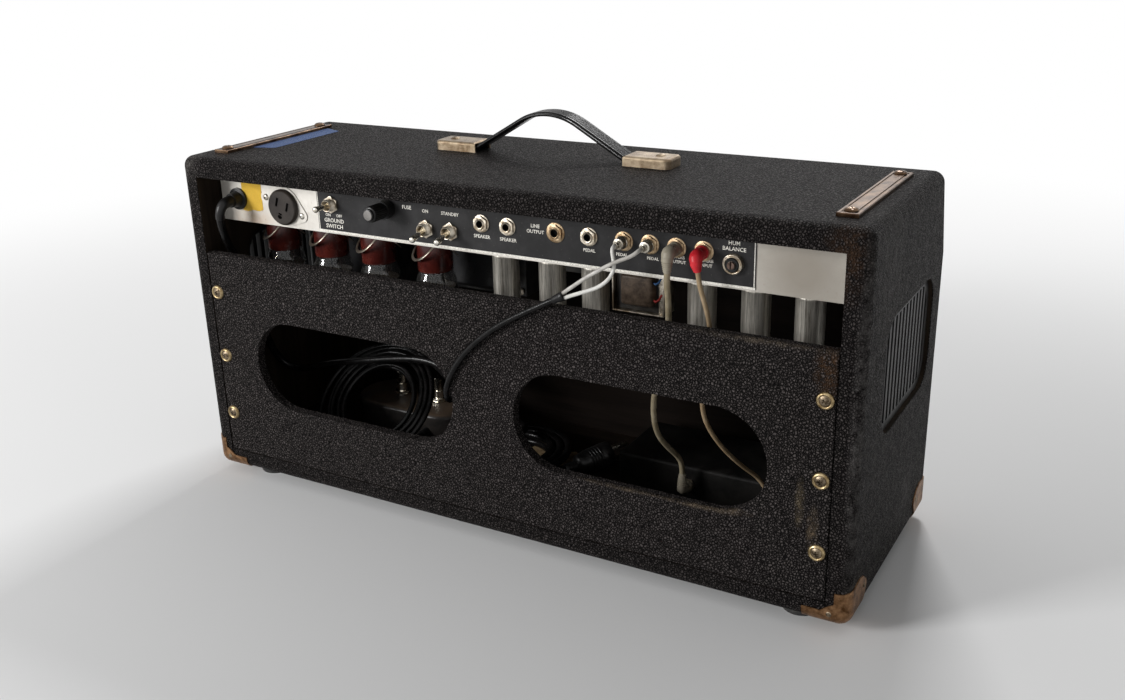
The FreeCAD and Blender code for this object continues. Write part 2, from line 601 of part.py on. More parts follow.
# Tubes hang from sockets in the chassis floor
def bulb(x, r_neck, z_neck, r, z_shoulder, z_dome, z_tip):
    h = z_dome - z_tip
    big = (r * r + h * h) / (2 * h)
    a = math.atan2(r, big - h) / 2
    p = [V(0, 0, z_neck), V(r_neck, 0, z_neck), V(r, 0, z_shoulder), V(r, 0, z_dome)]
    edges = [Part.LineSegment(p[i], p[i + 1]).toShape() for i in range(3)]
    edges.append(Part.Arc(p[3], V(big * math.sin(a), 0, z_tip + big - big * math.cos(a)), V(0, 0, z_tip)).toShape())
    edges.append(Part.LineSegment(V(0, 0, z_tip), p[0]).toShape())
    s = Part.Face(Part.Wire(edges)).revolve(V(0, 0, 0), Z, 360)
    s.translate(V(x, row_y, 0))
    return s


base_top = ch_z - 4.3
base_low = base_top - 31.4
base_r = 16.5
glass_r = 19.5
power_tip = 156.0
jaw_in, jaw_w, jaw_leg, jaw_tilt, jaw_t = 17.3, 3.0, 10.8, 52.0, 1.0
tubes, sockets, shields = [], [], []
for x in power_tube_xs:
    tubes.append(turned([(0, base_top), (base_r - 1, base_top), (base_r, base_top - 1), (base_r, base_low), (0, base_low)], x, row_y, 0))
    tubes.append(bulb(x, base_r - 1.0, base_low, glass_r, base_low - 8, power_tip + 16, power_tip))
    sockets.append(fused([cyl(power_socket_r, 10, x, row_y, base_top + fit), cyl(18, 1.4, x, row_y, ch_z - 1.4)]))
    hoop = cyl(jaw_in + jaw_w, 1.2, x, row_y, ch_z - 2.6).cut(cyl(base_r + 0.4, 6, x, row_y, ch_z - 5))
    jaws = [hoop]
    for k in (0, 180):
        j = cyl(jaw_in + jaw_w, jaw_t, 0, 0, -jaw_t / 2).cut(cyl(jaw_in, 4, 0, 0, -2)).common(box(0, 60, -60, 60, -5, 5))
        j.translate(V(jaw_leg, 0, 0))
        legs = [box(-0.6, jaw_leg, s * (jaw_in + jaw_w / 2) - jaw_w / 2, s * (jaw_in + jaw_w / 2) + jaw_w / 2, -jaw_t / 2, jaw_t / 2) for s in (1, -1)]
        j = fused([j] + legs)
        j.rotate(V(0, 0, 0), Y, jaw_tilt)
        j.rotate(V(0, 0, 0), Z, 30 + k)
        j.translate(V(x, row_y, ch_z - 2.0))
        jaws.append(j)
    sockets.append(fused(jaws).cut(cyl(base_r + 0.3, 60, x, row_y, ch_z - 62)).cut(cyl(30, 5, x, row_y, ch_z - 1.4)))

shield_r, shield_wall, shield_low = 12.0, 0.8, 210.0
ring_r, ring_h = 13.6, 7.0
for x in preamp_xs:
    seat = ch_z - 3.2
    sockets.append(fused([cyl(preamp_socket_r, 8, x, row_y, seat), cyl(13.0, 1.2, x, row_y, ch_z - 1.2),
                          cyl(ring_r, ring_h, x, row_y, ch_z - ring_h).cut(cyl(shield_r + fit, ring_h + 2, x, row_y, ch_z - ring_h - 1.2))]))
    tubes.append(bulb(x, 9.4, seat - fit, 10.4, seat - 3, shield_low + 10, shield_low + 2))
    i = shield_r - shield_wall
    shields.append(turned([(shield_r, ch_z - 1.6), (shield_r, shield_low + 3), (shield_r - 2, shield_low), (6.5, shield_low),
                           (6.5, shield_low + shield_wall), (i - 1.8, shield_low + shield_wall), (i, shield_low + 3.2), (i, ch_z - 1.6)], x, row_y, 0))
save("tubes", *tubes)
save("tube_sockets", *sockets)
save("tube_shields", *shields)


# Transformers: a stack of laminations between two end bells, bolted under the chassis
def transformer(x, y, w, stack, h, bell, r):
    core_box = box(x - w / 2, x + w / 2, y - stack / 2, y + stack / 2, ch_z - h, ch_z)
    out = [core_box]
    for s in (1, -1):
        y0, y1 = sorted((y + s * stack / 2, y + s * (stack / 2 + bell)))
        b = box(x - w / 2 + 8, x + w / 2 - 8, y0, y1, ch_z - h + 8, ch_z - 8)
        b = b.makeFillet(r, along(b, Y) + [e for e in along(b, X) + along(b, Z) if s * (e.CenterOfMass.y - y) > stack / 2 + bell - 0.1])
        out.append(b)
    return out


power_tf = (235.0 * place, -31.0, 105.0, 40.0, 88.0, 24.0, 8.0)
output_tf = (75.0 * place, -26.0, 95.0, 35.0, 70.0, 20.0, 7.0)
choke = (-10.0 * place, -36.0, 60.0, 20.0, 45.0, 12.0, 5.0)
reverb_tf = (-126.0 * place, row_y + 5, 48.0, 16.0, 42.0, 8.0, 3.5)
save("power_transformer", *transformer(*power_tf))
save("output_transformers", *transformer(*output_tf), *transformer(*choke), *transformer(*reverb_tf))

# Circuit board on spacers, with its row of parts
board = box(-200, 200, -40, 26, ch_z + 6.3, ch_z + 8.3)
posts = [cyl(3, 6.3 - sheet_t, x, y, ch_z + sheet_t) for x in (-190, 0, 190) for y in (-32, 18)]
caps_row = [cyl(4, 20, -180 + 40 * i, -16, ch_z + 12.1, Y) for i in range(10)]
save("circuit_board", fused([board] + posts + caps_row))

# Footswitch on the cabinet's floor: a pressed cover over a base plate, two sprung buttons
fs_x, fs_y = 174.0 * place, -23.5
fs_l, fs_w, fs_h = 146.0, 74.0, 31.2
fs_wall, fs_base = 1.2, 1.5
fs_button_x = 24.0
button_r, button_bush_r = 4.6, 5.8
button_top = 86.0
button_travel = 4.0
bush_top = 72.0
fs_entry_x = fs_x - 32.0


def stadium(l, w, z0, z1):
    return fused([box(fs_x - (l - w) / 2, fs_x + (l - w) / 2, fs_y - w / 2, fs_y + w / 2, z0, z1)] +
                 [cyl(w / 2, z1 - z0, fs_x + s * (l - w) / 2, fs_y, z0) for s in (1, -1)])


cover = stadium(fs_l, fs_w, z_floor + fs_base, z_floor + fs_h)
cover = cover.makeFillet(5.0, [e for e in cover.Edges if e.CenterOfMass.z > z_floor + fs_h - 0.1])
hollow = stadium(fs_l - 2 * fs_wall, fs_w - 2 * fs_wall, z_floor + fs_base - 1, z_floor + fs_h - fs_wall)
hollow = hollow.makeFillet(5.0 - fs_wall, [e for e in hollow.Edges if e.CenterOfMass.z > z_floor + fs_h - fs_wall - 0.1])
buttons_at = [(fs_x + s * fs_button_x, fs_y) for s in (1, -1)]
cover = cover.cut([hollow] + [cyl(button_bush_r + hole_play, 20, x, y, z_floor + fs_h - 10) for x, y in buttons_at])
fs_parts = [cover, stadium(fs_l, fs_w, z_floor, z_floor + fs_base)]
fs_top = z_floor + fs_h
for i, (x, y) in enumerate(buttons_at):
    sw = fused([cyl(button_bush_r, bush_top - 46, x, y, 46), box(x - 9, x + 9, y - 9, y + 9, z_floor + fs_base + 0.3, 46), cyl(8.0, 1.0, x, y, fs_top)])
    nut = hexagon(14.5, 3.0)
    nut.translate(V(x, y, fs_top + 1.0))
    sw = fused([sw, nut]).cut(cyl(button_r + run, 60, x, y, 40))
    fs_parts.append(sw)
    save("footswitch_button_" + "ab"[i], turned([(0, button_top), (button_r - 1.6, button_top), (button_r, button_top - 1.2), (button_r, 40 + button_travel + 0.6),
                                                 (0, 40 + button_travel + 0.6)], x, y, 0))
fs_gland = turned([(0, 0), (4.6, 0), (3.6, 8.5), (0, 8.5)], fs_entry_x, fs_y + fs_w / 2, 41.0, Y)
save("footswitch_base", *fs_parts, fs_gland)

# Reverb tank: a drawn steel pan, open side down, with two sockets in its long side
tank_x0, tank_x1 = 1.7 - x_in, 237.7 - x_in
tank_y0, tank_y1 = baffle_y + baffle_t + batten_d + 0.6, 6.5
tank_h = 33.0
tank_wall = 1.0
tank_jacks = (tank_x0 + 164.0, tank_x0 + 72.0)
tank_jack_z = 44.0
tank = box(tank_x0, tank_x1, tank_y0, tank_y1, z_floor, z_floor + tank_h)
tank = tank.makeFillet(3.0, along(tank, Z) + [e for e in tank.Edges if e.CenterOfMass.z > z_floor + tank_h - 0.1])
tank = tank.cut([box(tank_x0 + tank_wall, tank_x1 - tank_wall, tank_y0 + tank_wall, tank_y1 - tank_wall, z_floor - 1, z_floor + tank_h - tank_wall)] +
                [cyl(phono_r + hole_play, 8, x, tank_y1 - 4, tank_jack_z, Y) for x in tank_jacks])
save("reverb_tank", tank, *[on_rear(phono(tank_wall), x, tank_jack_z, y=tank_y1) for x in tank_jacks])


# Phono plugs, drawn with the mouth at 0 and the axis along +Z
def sleeve(r, length):
    return cyl(r, length, 0, 0, 0).cut([cyl(phono_r + 0.1, phono_out - 1.6, 0, 0, -0.01)]).fuse(cyl(phono_pin_r - 0.1, 8.0, 0, 0, -0.4))


plug_seat = 1.8          # mouth of a plug from the panel
straight_len = 8.6       # barrel; the spring comes after it
spring_r = 2.6


def straight_plug(x):
    spring = turned([(0, 0), (spring_r + 0.8, 0), (spring_r, straight_len * 0.3), (1.9, plugs_y - (ch_y + plate_t + plug_seat + straight_len)),
                     (0, plugs_y - (ch_y + plate_t + plug_seat + straight_len))], 0, 0, straight_len)
    s = fused([sleeve(5.2, straight_len), spring])
    return on_rear(s, x, rear_jack_z, y=ch_y + plate_t + plug_seat)


def angle_plug(x, y, z, reach, arm, r0=5.4, end_r=2.8):
    """Right-angle plug whose arm leaves along the vector arm, from its elbow at distance reach."""
    s = fused([sleeve(r0, reach)])
    s.Placement = FreeCAD.Placement(V(x, y, z), FreeCAD.Rotation(X, -90))
    elbow = V(x, y + reach - 0.5, z)
    return fused([s, Part.makeSphere(r0 + 0.4, elbow), Part.makeCone(r0 - 0.4, end_r, arm.Length, elbow, arm)])


plugs_y = 106.0
plug_y0 = ch_y + plate_t + plug_seat
reach_a = 16.2
elbow_y = plug_y0 + reach_a - 0.5
arm_a, arm_b = V(0, 0, -16), V(-2.6, 0, -12)
tank_reach = 13.0
tank_elbow = tank_y1 + plug_seat + tank_reach - 0.5
arm_c, arm_d = V(0, 0, 18), V(9.5, 0, 15.5)
end_a = V(phono_xs[2], elbow_y, rear_jack_z) + arm_a
end_b = V(phono_xs[3], elbow_y, rear_jack_z) + arm_b
end_c = V(tank_jacks[0], tank_elbow, tank_jack_z) + arm_c
end_d = V(tank_jacks[1], tank_elbow, tank_jack_z) + arm_d
lead = V(-0.883, 0, 0.469)       # the footswitch lead's direction where it splits
split = V(-76.5 * place, 119.5, 245.2)
splice = Part.makeCone(2.9, 4.0, 12, split, lead)
save("phono_plugs", straight_plug(phono_xs[0]), straight_plug(phono_xs[1]),
     angle_plug(phono_xs[2], plug_y0, rear_jack_z, reach_a, arm_a), angle_plug(phono_xs[3], plug_y0, rear_jack_z, reach_a, arm_b, end_r=2.4),
     angle_plug(tank_jacks[0], tank_y1 + plug_seat, tank_jack_z, tank_reach, arm_c), angle_plug(tank_jacks[1], tank_y1 + plug_seat, tank_jack_z, tank_reach, arm_d, end_r=2.4),
     splice)


# Cords: straight runs joined by tangent arcs, and coils that spiral in on one layer and out on the next
mains_r, pedal_r, grey_r, red_r, pigtail_r = 3.8, 2.6, 2.5, 2.0, 1.6


def circle_at(p, d, r):
    return Part.Wire([Part.Circle(p, d, r).toShape()])


def cord(name, points, r):
    points = [V(p[0] * place, p[1], p[2]) if isinstance(p, tuple) else p for p in points]
    wire, radii = path([tuple(p) for p in points])
    p0 = V(*points[0])
    s = swept(wire, circle_at(p0, V(*points[1]) - p0, r))
    want = math.pi * r * r * wire.Length
    print(name, "length %.1f" % wire.Length, "least radius %.1f" % min(radii), "of", [round(v, 1) for v in radii], "volume ratio %.4f" % (s.Volume / want))
    return s


def coil(name, centre, e1, e2, axis, nodes, r):
    """A coil in the plane of e1 and e2: nodes are (angle in degrees, radius, offset along the axis)."""
    pts, tans = [], []
    for a, q, h in nodes:
        t = math.radians(a)
        pts.append(centre + e1 * (q * math.cos(t)) + e2 * (q * math.sin(t)) + axis * h)
    n = len(nodes)
    for i in range(n):
        j, k = max(i - 1, 0), min(i + 1, n - 1)
        da = math.radians(nodes[k][0] - nodes[j][0])
        dq = (nodes[k][1] - nodes[j][1]) / da
        t, q = math.radians(nodes[i][0]), nodes[i][1]
        d = e1 * (dq * math.cos(t) - q * math.sin(t)) + e2 * (dq * math.sin(t) + q * math.cos(t))
        d = d * (1 if da > 0 else -1)
        d.normalize()
        tans.append(d)
    edges, samples = [], []
    for i in range(n - 1):
        a, b, t0, t1 = pts[i], pts[i + 1], tans[i], tans[i + 1]
        v, t = b - a, t0 + t1
        m = 2 * (1 - t0.dot(t1))
        d = (-v.dot(t) + math.sqrt(v.dot(t) ** 2 + m * v.dot(v))) / m
        q0, q1 = a + t0 * d, b - t1 * d
        joint = (q0 + q1) * 0.5
        for s, q, e in ((a, q0, joint), (joint, q1, b)):
            mid = (s + e) * 0.5
            f = (q - s).getAngle(e - s)
            edges.append(Part.Arc(s, mid + (q - mid) * (math.tan(f / 2) / math.tan(f)), e).toShape())
            samples += edges[-1].discretize(24)[:-1]
    wire = Part.Wire(edges)
    s = swept(wire, circle_at(pts[0], tans[0], r))
    gap, run_len = 1e9, []
    total = 0.0
    for i, p in enumerate(samples):
        if i:
            total += (p - samples[i - 1]).Length
        run_len.append(total)
    for i in range(0, len(samples), 2):
        for j in range(i + 1, len(samples)):
            if run_len[j] - run_len[i] > 40:
                gap = min(gap, (samples[i] - samples[j]).Length - 2 * r)
    print(name, "length %.1f" % wire.Length, "least gap %.2f" % gap, "volume ratio %.4f" % (s.Volume / (math.pi * r * r * wire.Length)))
    return s, pts[0], tans[0], pts[-1], tans[-1]


# Mains coil, flat on the floor
mc = V(39.0 * place, 9.0, 0.0)
low_z, high_z = z_floor + mains_r + fit, z_floor + 3 * mains_r + 1.0
ks = [0, 1, 2, 3, 4, 5, 6, 7, 8, 9, 10, 10.69]
mr = [60.5, 55.2, 52.0, 47.0, 43.7, 38.8, 34.0, 34.0, 39.6, 43.4, 47.9, 51.0]
mz = [high_z + 3.3] + [high_z] * 6 + [low_z] * 5
mains_coil, m_in, m_in_d, m_out, m_out_d = coil("mains_coil", mc, X, Y, Z, [(-24.3 + 180 * k, q, h) for k, q, h in zip(ks, mr, mz)], mains_r)
save("mains_coil", mains_coil)
relief_tip = V(strain_at[0], ch_y + relief_out, strain_at[1])
mains_a = [relief_tip, relief_tip + Y * 7.5, (291.2, 113.2, 282.5), (293.4, 113.6, 272), (296.5, 108, 257), (300, 99, 240), (302.5, 87, 224), (304, 76, 208), (304.5, 71, 190),
           (304.2, 67.5, 170), (305, 63, 150), (306.3, 56, 129), (306, 48.5, 112), (301, 41.5, 99), (289, 37, 93.5), (273, 35, 96.5), (253.5, 35, 103.6), (229.5, 35, 109.9),
           (204.8, 35, 115.5), (178, 35, 121.7), (154, 35, 126.7), (133, 35.5, 130.2), (112, 36, 131), (93, 36.5, 125), (78, 35.5, 111), (65, 32, 93), (54, 26, 75), (44, 16.5, 61),
           (37.5, 0.2, 54.5), (40.8, -18.3, 51.5), (55.3, -31.9, 50.2), (75.1, -33.6, 49.9), m_in - m_in_d * 10, m_in]
plug_in = V(-27.5 * place, 22.6, 38.9)
plug_dir = V(-0.4988, -0.8639, 0.0716)
mains_b = [m_out, m_out + m_out_d * 12, (6.7, 52.4, low_z), (-3.8, 46.6, low_z + 0.2), (-13.4, 39.2, 35.0), plug_in - plug_dir * 9.9, plug_in]
save("mains_cord", cord("mains_cord a", mains_a, mains_r), cord("mains_cord b", mains_b, mains_r))
plug_body = turned([(0, 0), (5.0, 0), (5.6, 12), (9, 14), (11.5, 22), (12.8, 40), (13, 48.8), (12, 50), (0, 50)], 0, 0, 0)
prongs = [box(s * 6.35 - 0.75, s * 6.35 + 0.75, -3.2, 3.2, 50, 66) for s in (1, -1)] + [cyl(2.4, 19, 0, 8.5, 50)]
plug = []
for s in [plug_body] + prongs:
    s = s.copy()
    s.Placement = FreeCAD.Placement(plug_in, FreeCAD.Rotation(Z, plug_dir)).multiply(s.Placement)
    plug.append(s)
save("mains_plug", *plug)

# Footswitch lead's coil, standing on the floor and leaning forward
tilt = math.radians(46)
pe1, pe2, pn = X, V(0, -math.sin(tilt), math.cos(tilt)), V(0, math.cos(tilt), math.sin(tilt))
pr = [65.5, 62.6, 59.75, 56.85, 54.0, 51.1, 48.25, 45.3, 41.0, 40.9, 45.2, 48.2, 51.1, 54.0, 56.9, 59.8, 60.2]
pk = list(range(16)) + [15.139]
pc = V(178.0 * place, 44.0, z_floor + pedal_r + fit + 65.5 * math.cos(tilt))
pitch = pedal_r + 0.35
pedal_coil, p_in, p_in_d, p_out, p_out_d = coil("pedal_coil", pc, pe1, pe2, pn, [(110 - 180 * k, q, pitch if i < 9 else -pitch) for i, (k, q) in enumerate(zip(pk, pr))], pedal_r)
save("pedal_coil", pedal_coil)
pedal_a = [split, (-44.7, 119.5, 228.8), (-14.7, 119.5, 210.3), (12.3, 119.5, 186.5), (29.3, 119.5, 163), (36.3, 119.3, 146.5), (39.5, 114.5, 136), (43, 105, 129),
           (50, 91, 124), (66, 69, 117), (84, 45, 110), (101, 23, 108), p_in - p_in_d * 20, p_in]
gland_tip = V(fs_entry_x, fs_y + fs_w / 2 + 8.5, 41.0)
pedal_b = [p_out, p_out + p_out_d * 12, (149, 78, 35.2), (142.3, 67, 36.5), (140.8, 54, 38.2), (141.6, 41, 40), (142, 31, 41), gland_tip]
side = V(0.469, 0, 0.883)
tail = split + lead * 12
white = [(phono_xs[0], plugs_y, rear_jack_z), (phono_xs[0], plugs_y + 3, rear_jack_z), (-127.4, 111.6, 289.6), (-129.2, 112.6, 284), (-129.8, 112.9, 276.5), (-126, 115, 268), (-117.5, 117, 261.5),
         (-107, 118.7, 256.8), (-97.5, 119.3, 253.2), tail - side * 2.0]
clear = [(phono_xs[1], plugs_y, rear_jack_z), (phono_xs[1], plugs_y + 3.5, rear_jack_z), (-147.5, 113, 290.6), (-142.5, 115, 287.8), (-135.5, 116, 285), (-127, 117.2, 280.6), (-117, 118, 274.8),
         (-107, 118.6, 268), (-96.5, 119.3, 260.4), tail + side * 2.0]
save("pedal_cord", cord("pedal_cord a", pedal_a, pedal_r), cord("pedal_cord b", pedal_b, pedal_r), cord("white pigtail", white, pigtail_r),
     cord("clear pigtail", clear, pigtail_r))

# Reverb leads
grey = [end_a, (-172.5, elbow_y + 0.3, 267), (-171.8, 103, 255), (-170.5, 99, 240), (-168, 94, 222), (-162.5, 86.5, 203), (-154, 79, 181), (-145, 71.5, 159),
        (-139.5, 62, 136), (-137.5, 51.5, 112), (-141.5, 38, 94), (-146.5, 26, 81), (end_c.x, end_c.y + 0.4, end_c.z + 9), end_c]
red = [end_b, (-199.7, elbow_y + 0.6, 272), (-202.3, 104.3, 259), (-205, 98.5, 240), (-204.5, 92, 214), (-198, 86, 188), (-191, 80, 163),
       (-190.8, 67, 136), (-200.5, 51.5, 109), (-212.5, 35.5, 88.5), (-221, 25.5, 77.5), end_d + V(5.0, 0.6, 8.2), end_d]
save("reverb_cables", cord("grey lead", grey, grey_r), cord("red lead", red, red_r))

os.makedirs("parts", exist_ok=True)
for name, shape in parts.items():
    shape.exportStep("parts/" + name + ".step")
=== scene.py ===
import math
import bmesh
import bpy
from mathutils import Matrix, Vector


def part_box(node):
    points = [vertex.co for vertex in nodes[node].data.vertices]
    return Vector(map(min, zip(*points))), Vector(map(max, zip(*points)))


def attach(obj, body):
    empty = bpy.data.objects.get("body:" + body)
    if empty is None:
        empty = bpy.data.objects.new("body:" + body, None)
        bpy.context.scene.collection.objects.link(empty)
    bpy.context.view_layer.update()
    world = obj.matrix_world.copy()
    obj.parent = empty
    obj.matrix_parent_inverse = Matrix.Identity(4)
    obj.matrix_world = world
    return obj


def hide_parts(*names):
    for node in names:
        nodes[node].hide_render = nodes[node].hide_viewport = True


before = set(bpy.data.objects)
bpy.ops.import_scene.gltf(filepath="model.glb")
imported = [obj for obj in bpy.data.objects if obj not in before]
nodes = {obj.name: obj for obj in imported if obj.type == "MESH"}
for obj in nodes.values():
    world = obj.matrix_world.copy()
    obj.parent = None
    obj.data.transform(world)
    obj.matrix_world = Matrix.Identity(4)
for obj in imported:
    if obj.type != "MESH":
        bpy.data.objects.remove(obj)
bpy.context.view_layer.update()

scene = bpy.context.scene
scene.view_settings.view_transform = "Standard"

# Camera, lamps and floor. The camera stands behind the amplifier's left rear corner, where the
# photograph was taken from, and looks down a little; three soft lamps and a pale floor surround it.
camera = bpy.data.objects.new("camera", bpy.data.cameras.new("camera"))
scene.collection.objects.link(camera)
scene.camera = camera
camera.data.sensor_width = 36.0
camera.data.lens = 37.84         # millimetres
look = Vector((0.4716, -0.8086, -0.3520)).normalized()
level = look.cross(Vector((0, 0, 1))).normalized()
over = level.cross(look)
roll = math.radians(-1.55)       # the photograph leans a little
right = level * math.cos(roll) + over * math.sin(roll)
over = over * math.cos(roll) - level * math.sin(roll)
facing_out = Matrix((right, over, -look)).transposed().to_4x4()
camera.matrix_world = Matrix.Translation((-0.5419, 0.9034, 0.5449)) @ facing_out


def lamp(name, place, aim, size, watts):
    """A square soft lamp at place that shines at aim."""
    light = bpy.data.lights.new(name, "AREA")
    light.size = size
    light.energy = watts
    obj = bpy.data.objects.new(name, light)
    scene.collection.objects.link(obj)
    obj.location = place
    obj.rotation_euler = (Vector(aim) - Vector(place)).to_track_quat("-Z", "Y").to_euler()


lamp("key_lamp", (1.5, 1.9, 0.9), (0, 0.05, 0.2), 0.7, 50)
lamp("side_lamp", (-1.9, 1.0, 1.2), (0, 0, 0.2), 1.2, 0.5)
lamp("front_lamp", (0.15, -1.5, 1.7), (0, 0, 0.25), 0.5, 24)


def add(n, kind, inputs=(), **settings):
    """A new node; inputs maps its sockets to numbers, colours or other nodes' outputs."""
    node = n.new(kind)
    for key, value in settings.items():
        setattr(node, key, value)
    for key, value in dict(inputs).items():
        if isinstance(value, bpy.types.NodeSocket):
            n.id_data.links.new(value, node.inputs[key])
        else:
            node.inputs[key].default_value = value
    return node


def material(name, **values):
    """A new material, its nodes and its principled shader; values go to the shader's sockets."""
    m = bpy.data.materials.new(name)
    m.use_nodes = True
    shader = m.node_tree.nodes["Principled BSDF"]
    for key, value in values.items():
        socket = shader.inputs[key.replace("_", " ")]
        socket.default_value = (*value, 1) if isinstance(value, tuple) and len(value) == 3 else value
    return m, m.node_tree.nodes, shader


def feed(shader, **outputs):
    """Links outputs to the shader's sockets."""
    for key, value in outputs.items():
        shader.id_data.links.new(value, shader.inputs[key.replace("_", " ")])


def blend_colour(factor, low, high, start=0.0, end=1.0):
    """A colour ramp from low to high between start and end of a factor output."""
    r = add(factor.id_data.nodes, "ShaderNodeValToRGB", {"Fac": factor})
    for e, position, colour in zip(r.color_ramp.elements, (start, end), (low, high)):
        e.position, e.color = position, (*colour, 1)
    return r.outputs["Color"]


def calculate(operation, a, b, clamp=True):
    """A math node on an output and another one or a number, clamped to 0..1 or not."""
    return add(a.id_data.nodes, "ShaderNodeMath", {0: a, 1: b}, operation=operation, use_clamp=clamp).outputs[0]


def shows_in(n):
    """1 for what the camera sees, straight or through glass or as a reflection."""
    paths = add(n, "ShaderNodeLightPath").outputs
    straight_or_glossy = calculate("MAXIMUM", paths["Is Camera Ray"], paths["Is Glossy Ray"], False)
    return calculate("MAXIMUM", straight_or_glossy, paths["Is Transmission Ray"], False)


# Away from the object the floor fades to the backdrop's white; near it, it keeps the shadow
WHITE = (1, 1, 1, 1)
floor_paint, n, shader = material("pale_floor", Roughness=0.9)
tint = add(n, "ShaderNodeTexNoise", {"Scale": 3.0})
feed(shader, Base_Color=blend_colour(tint.outputs["Fac"], (0.79,) * 3, (0.81,) * 3))
white_glow = add(n, "ShaderNodeEmission", {"Color": WHITE, "Strength": 1.0})
place = add(n, "ShaderNodeTexCoord")
away = add(n, "ShaderNodeVectorMath", {0: place.outputs["Object"]}, operation="LENGTH")
fade = add(n, "ShaderNodeMapRange", {"From Min": 0.55, "From Max": 1.7, "Value": away.outputs["Value"]},
           interpolation_type="SMOOTHSTEP")
amount = calculate("MULTIPLY", fade.outputs["Result"], shows_in(n), False)
both_looks = add(n, "ShaderNodeMixShader", {"Fac": amount, 1: shader.outputs["BSDF"], 2: white_glow.outputs[0]})
n.id_data.links.new(both_looks.outputs[0], n["Material Output"].inputs["Surface"])
bm = bmesh.new()
bmesh.ops.create_circle(bm, cap_ends=True, segments=64, radius=14.0)
floor = bpy.data.objects.new("floor", bpy.data.meshes.new("floor"))
bm.to_mesh(floor.data)
bm.free()
floor.data.materials.append(floor_paint)
scene.collection.objects.link(floor)

world = bpy.data.worlds.new("studio")
scene.world = world
world.use_nodes = True
n = world.node_tree.nodes
n.clear()
soft_sky = add(n, "ShaderNodeBackground", {"Color": WHITE, "Strength": 0.30})
white_sky = add(n, "ShaderNodeBackground", {"Color": WHITE, "Strength": 1.0})
either = add(n, "ShaderNodeMixShader", {"Fac": shows_in(n), 1: soft_sky.outputs[0], 2: white_sky.outputs[0]})
add(n, "ShaderNodeOutputWorld", {"Surface": either.outputs[0]})

# Leads. Round rubber or plastic jackets over stranded wire: the mains lead and the footswitch lead
# lie coiled in the box, two pigtails and two reverb leads end in phono plugs. Each is one smooth curve.


def coordinates(n, scale=None, origin=(0, 0, 0)):
    """The object's own coordinates, in metres; with a scale, those from origin, stretched."""
    where = n.get("place") or n.new("ShaderNodeTexCoord")
    where.name = "place"
    if not scale:
        return where.outputs["Object"]
    shift = tuple(-a * s for a, s in zip(origin, scale))
    values = {"Vector": where.outputs["Object"], "Location": shift, "Scale": scale}
    return add(n, "ShaderNodeMapping", values).outputs["Vector"]


def texture(n, kind, scale, at=None, **inputs):
    """A texture node on the object's own coordinates, or on those at hand."""
    values = {key.replace("_", " "): value for key, value in inputs.items()}
    return add(n, "ShaderNodeTex" + kind, {"Vector": at or coordinates(n), "Scale": scale, **values})


def noise(n, scale, detail=2.0, roughness=0.5, distortion=0.0, at=None):
    """A noise from 0 to 1."""
    return texture(n, "Noise", scale, at, Detail=detail, Roughness=roughness, Distortion=distortion).outputs["Fac"]


def blend_value(factor, low, high, start=0.0, end=1.0):
    """Maps start..end of a factor output to low..high."""
    values = {"From Min": start, "From Max": end, "To Min": low, "To Max": high, "Value": factor}
    return add(factor.id_data.nodes, "ShaderNodeMapRange", values).outputs["Result"]


def relief(height, shader, distance, strength=1.0):
    """Bumps the shader by a height output; distance is the bump's depth in metres."""
    values = {"Distance": distance, "Strength": strength, "Height": height}
    feed(shader, Normal=add(height.id_data.nodes, "ShaderNodeBump", values).outputs["Normal"])


def mottled(name, dark, light, span, cloud, rough=None, grain=None, depth=0.0, **values):
    """Colour from dark to light over the span of a noise (scale, detail, roughness); the roughness from
    one value to another, and the relief, follow the noise called grain, or else the same noise."""
    m, n, shader = material(name, **values)
    coarse = noise(n, *cloud)
    feed(shader, Base_Color=blend_colour(coarse, dark, light, *span))
    fine = noise(n, *grain) if grain else coarse
    if rough:
        feed(shader, Roughness=blend_value(fine, *rough))
    if depth:
        relief(fine, shader, depth)
    return m


def jacket(name, dark, light, rough):
    """The smooth skin of a lead."""
    return mottled(name, dark, light, (0.35, 0.72), (90.0, 6.0), (rough - 0.1, rough + 0.15), (700.0, 3.0), 0.00015,
                   Specular_IOR_Level=0.16)


black_jacket = jacket("black_jacket", (0.003, 0.003, 0.003), (0.009, 0.008, 0.008), 0.20)
clear_jacket = jacket("clear_jacket", (0.36, 0.34, 0.31), (0.62, 0.60, 0.56), 0.22)
white_jacket = jacket("white_jacket", (0.62, 0.61, 0.57), (0.80, 0.79, 0.75), 0.40)
beige_jacket = jacket("beige_jacket", (0.22, 0.18, 0.115), (0.37, 0.32, 0.225), 0.45)
amber_jacket = jacket("amber_jacket", (0.24, 0.165, 0.09), (0.40, 0.30, 0.19), 0.35)


def metres(point):
    """A point given in millimetres."""
    return tuple(round(c / 1000, 6) for c in point)


def laid(name, points, radius, finish):
    """One smooth curve that has the points as its control points, and a round section; in millimetres."""
    curve = bpy.data.curves.new(name, "CURVE")
    curve.dimensions = "3D"
    line = curve.splines.new("NURBS")
    line.points.add(len(points) - 1)
    for p, at in zip(line.points, points):
        p.co = (*(c / 1000 for c in at), 1)
    line.order_u = 3
    line.use_endpoint_u = True
    line.resolution_u = 5
    curve.bevel_depth = radius / 1000
    curve.bevel_resolution = 4
    curve.use_fill_caps = True
    obj = bpy.data.objects.new(name, curve)
    scene.collection.objects.link(obj)
    curve.materials.append(finish)
    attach(obj, "amplifier")
    return obj


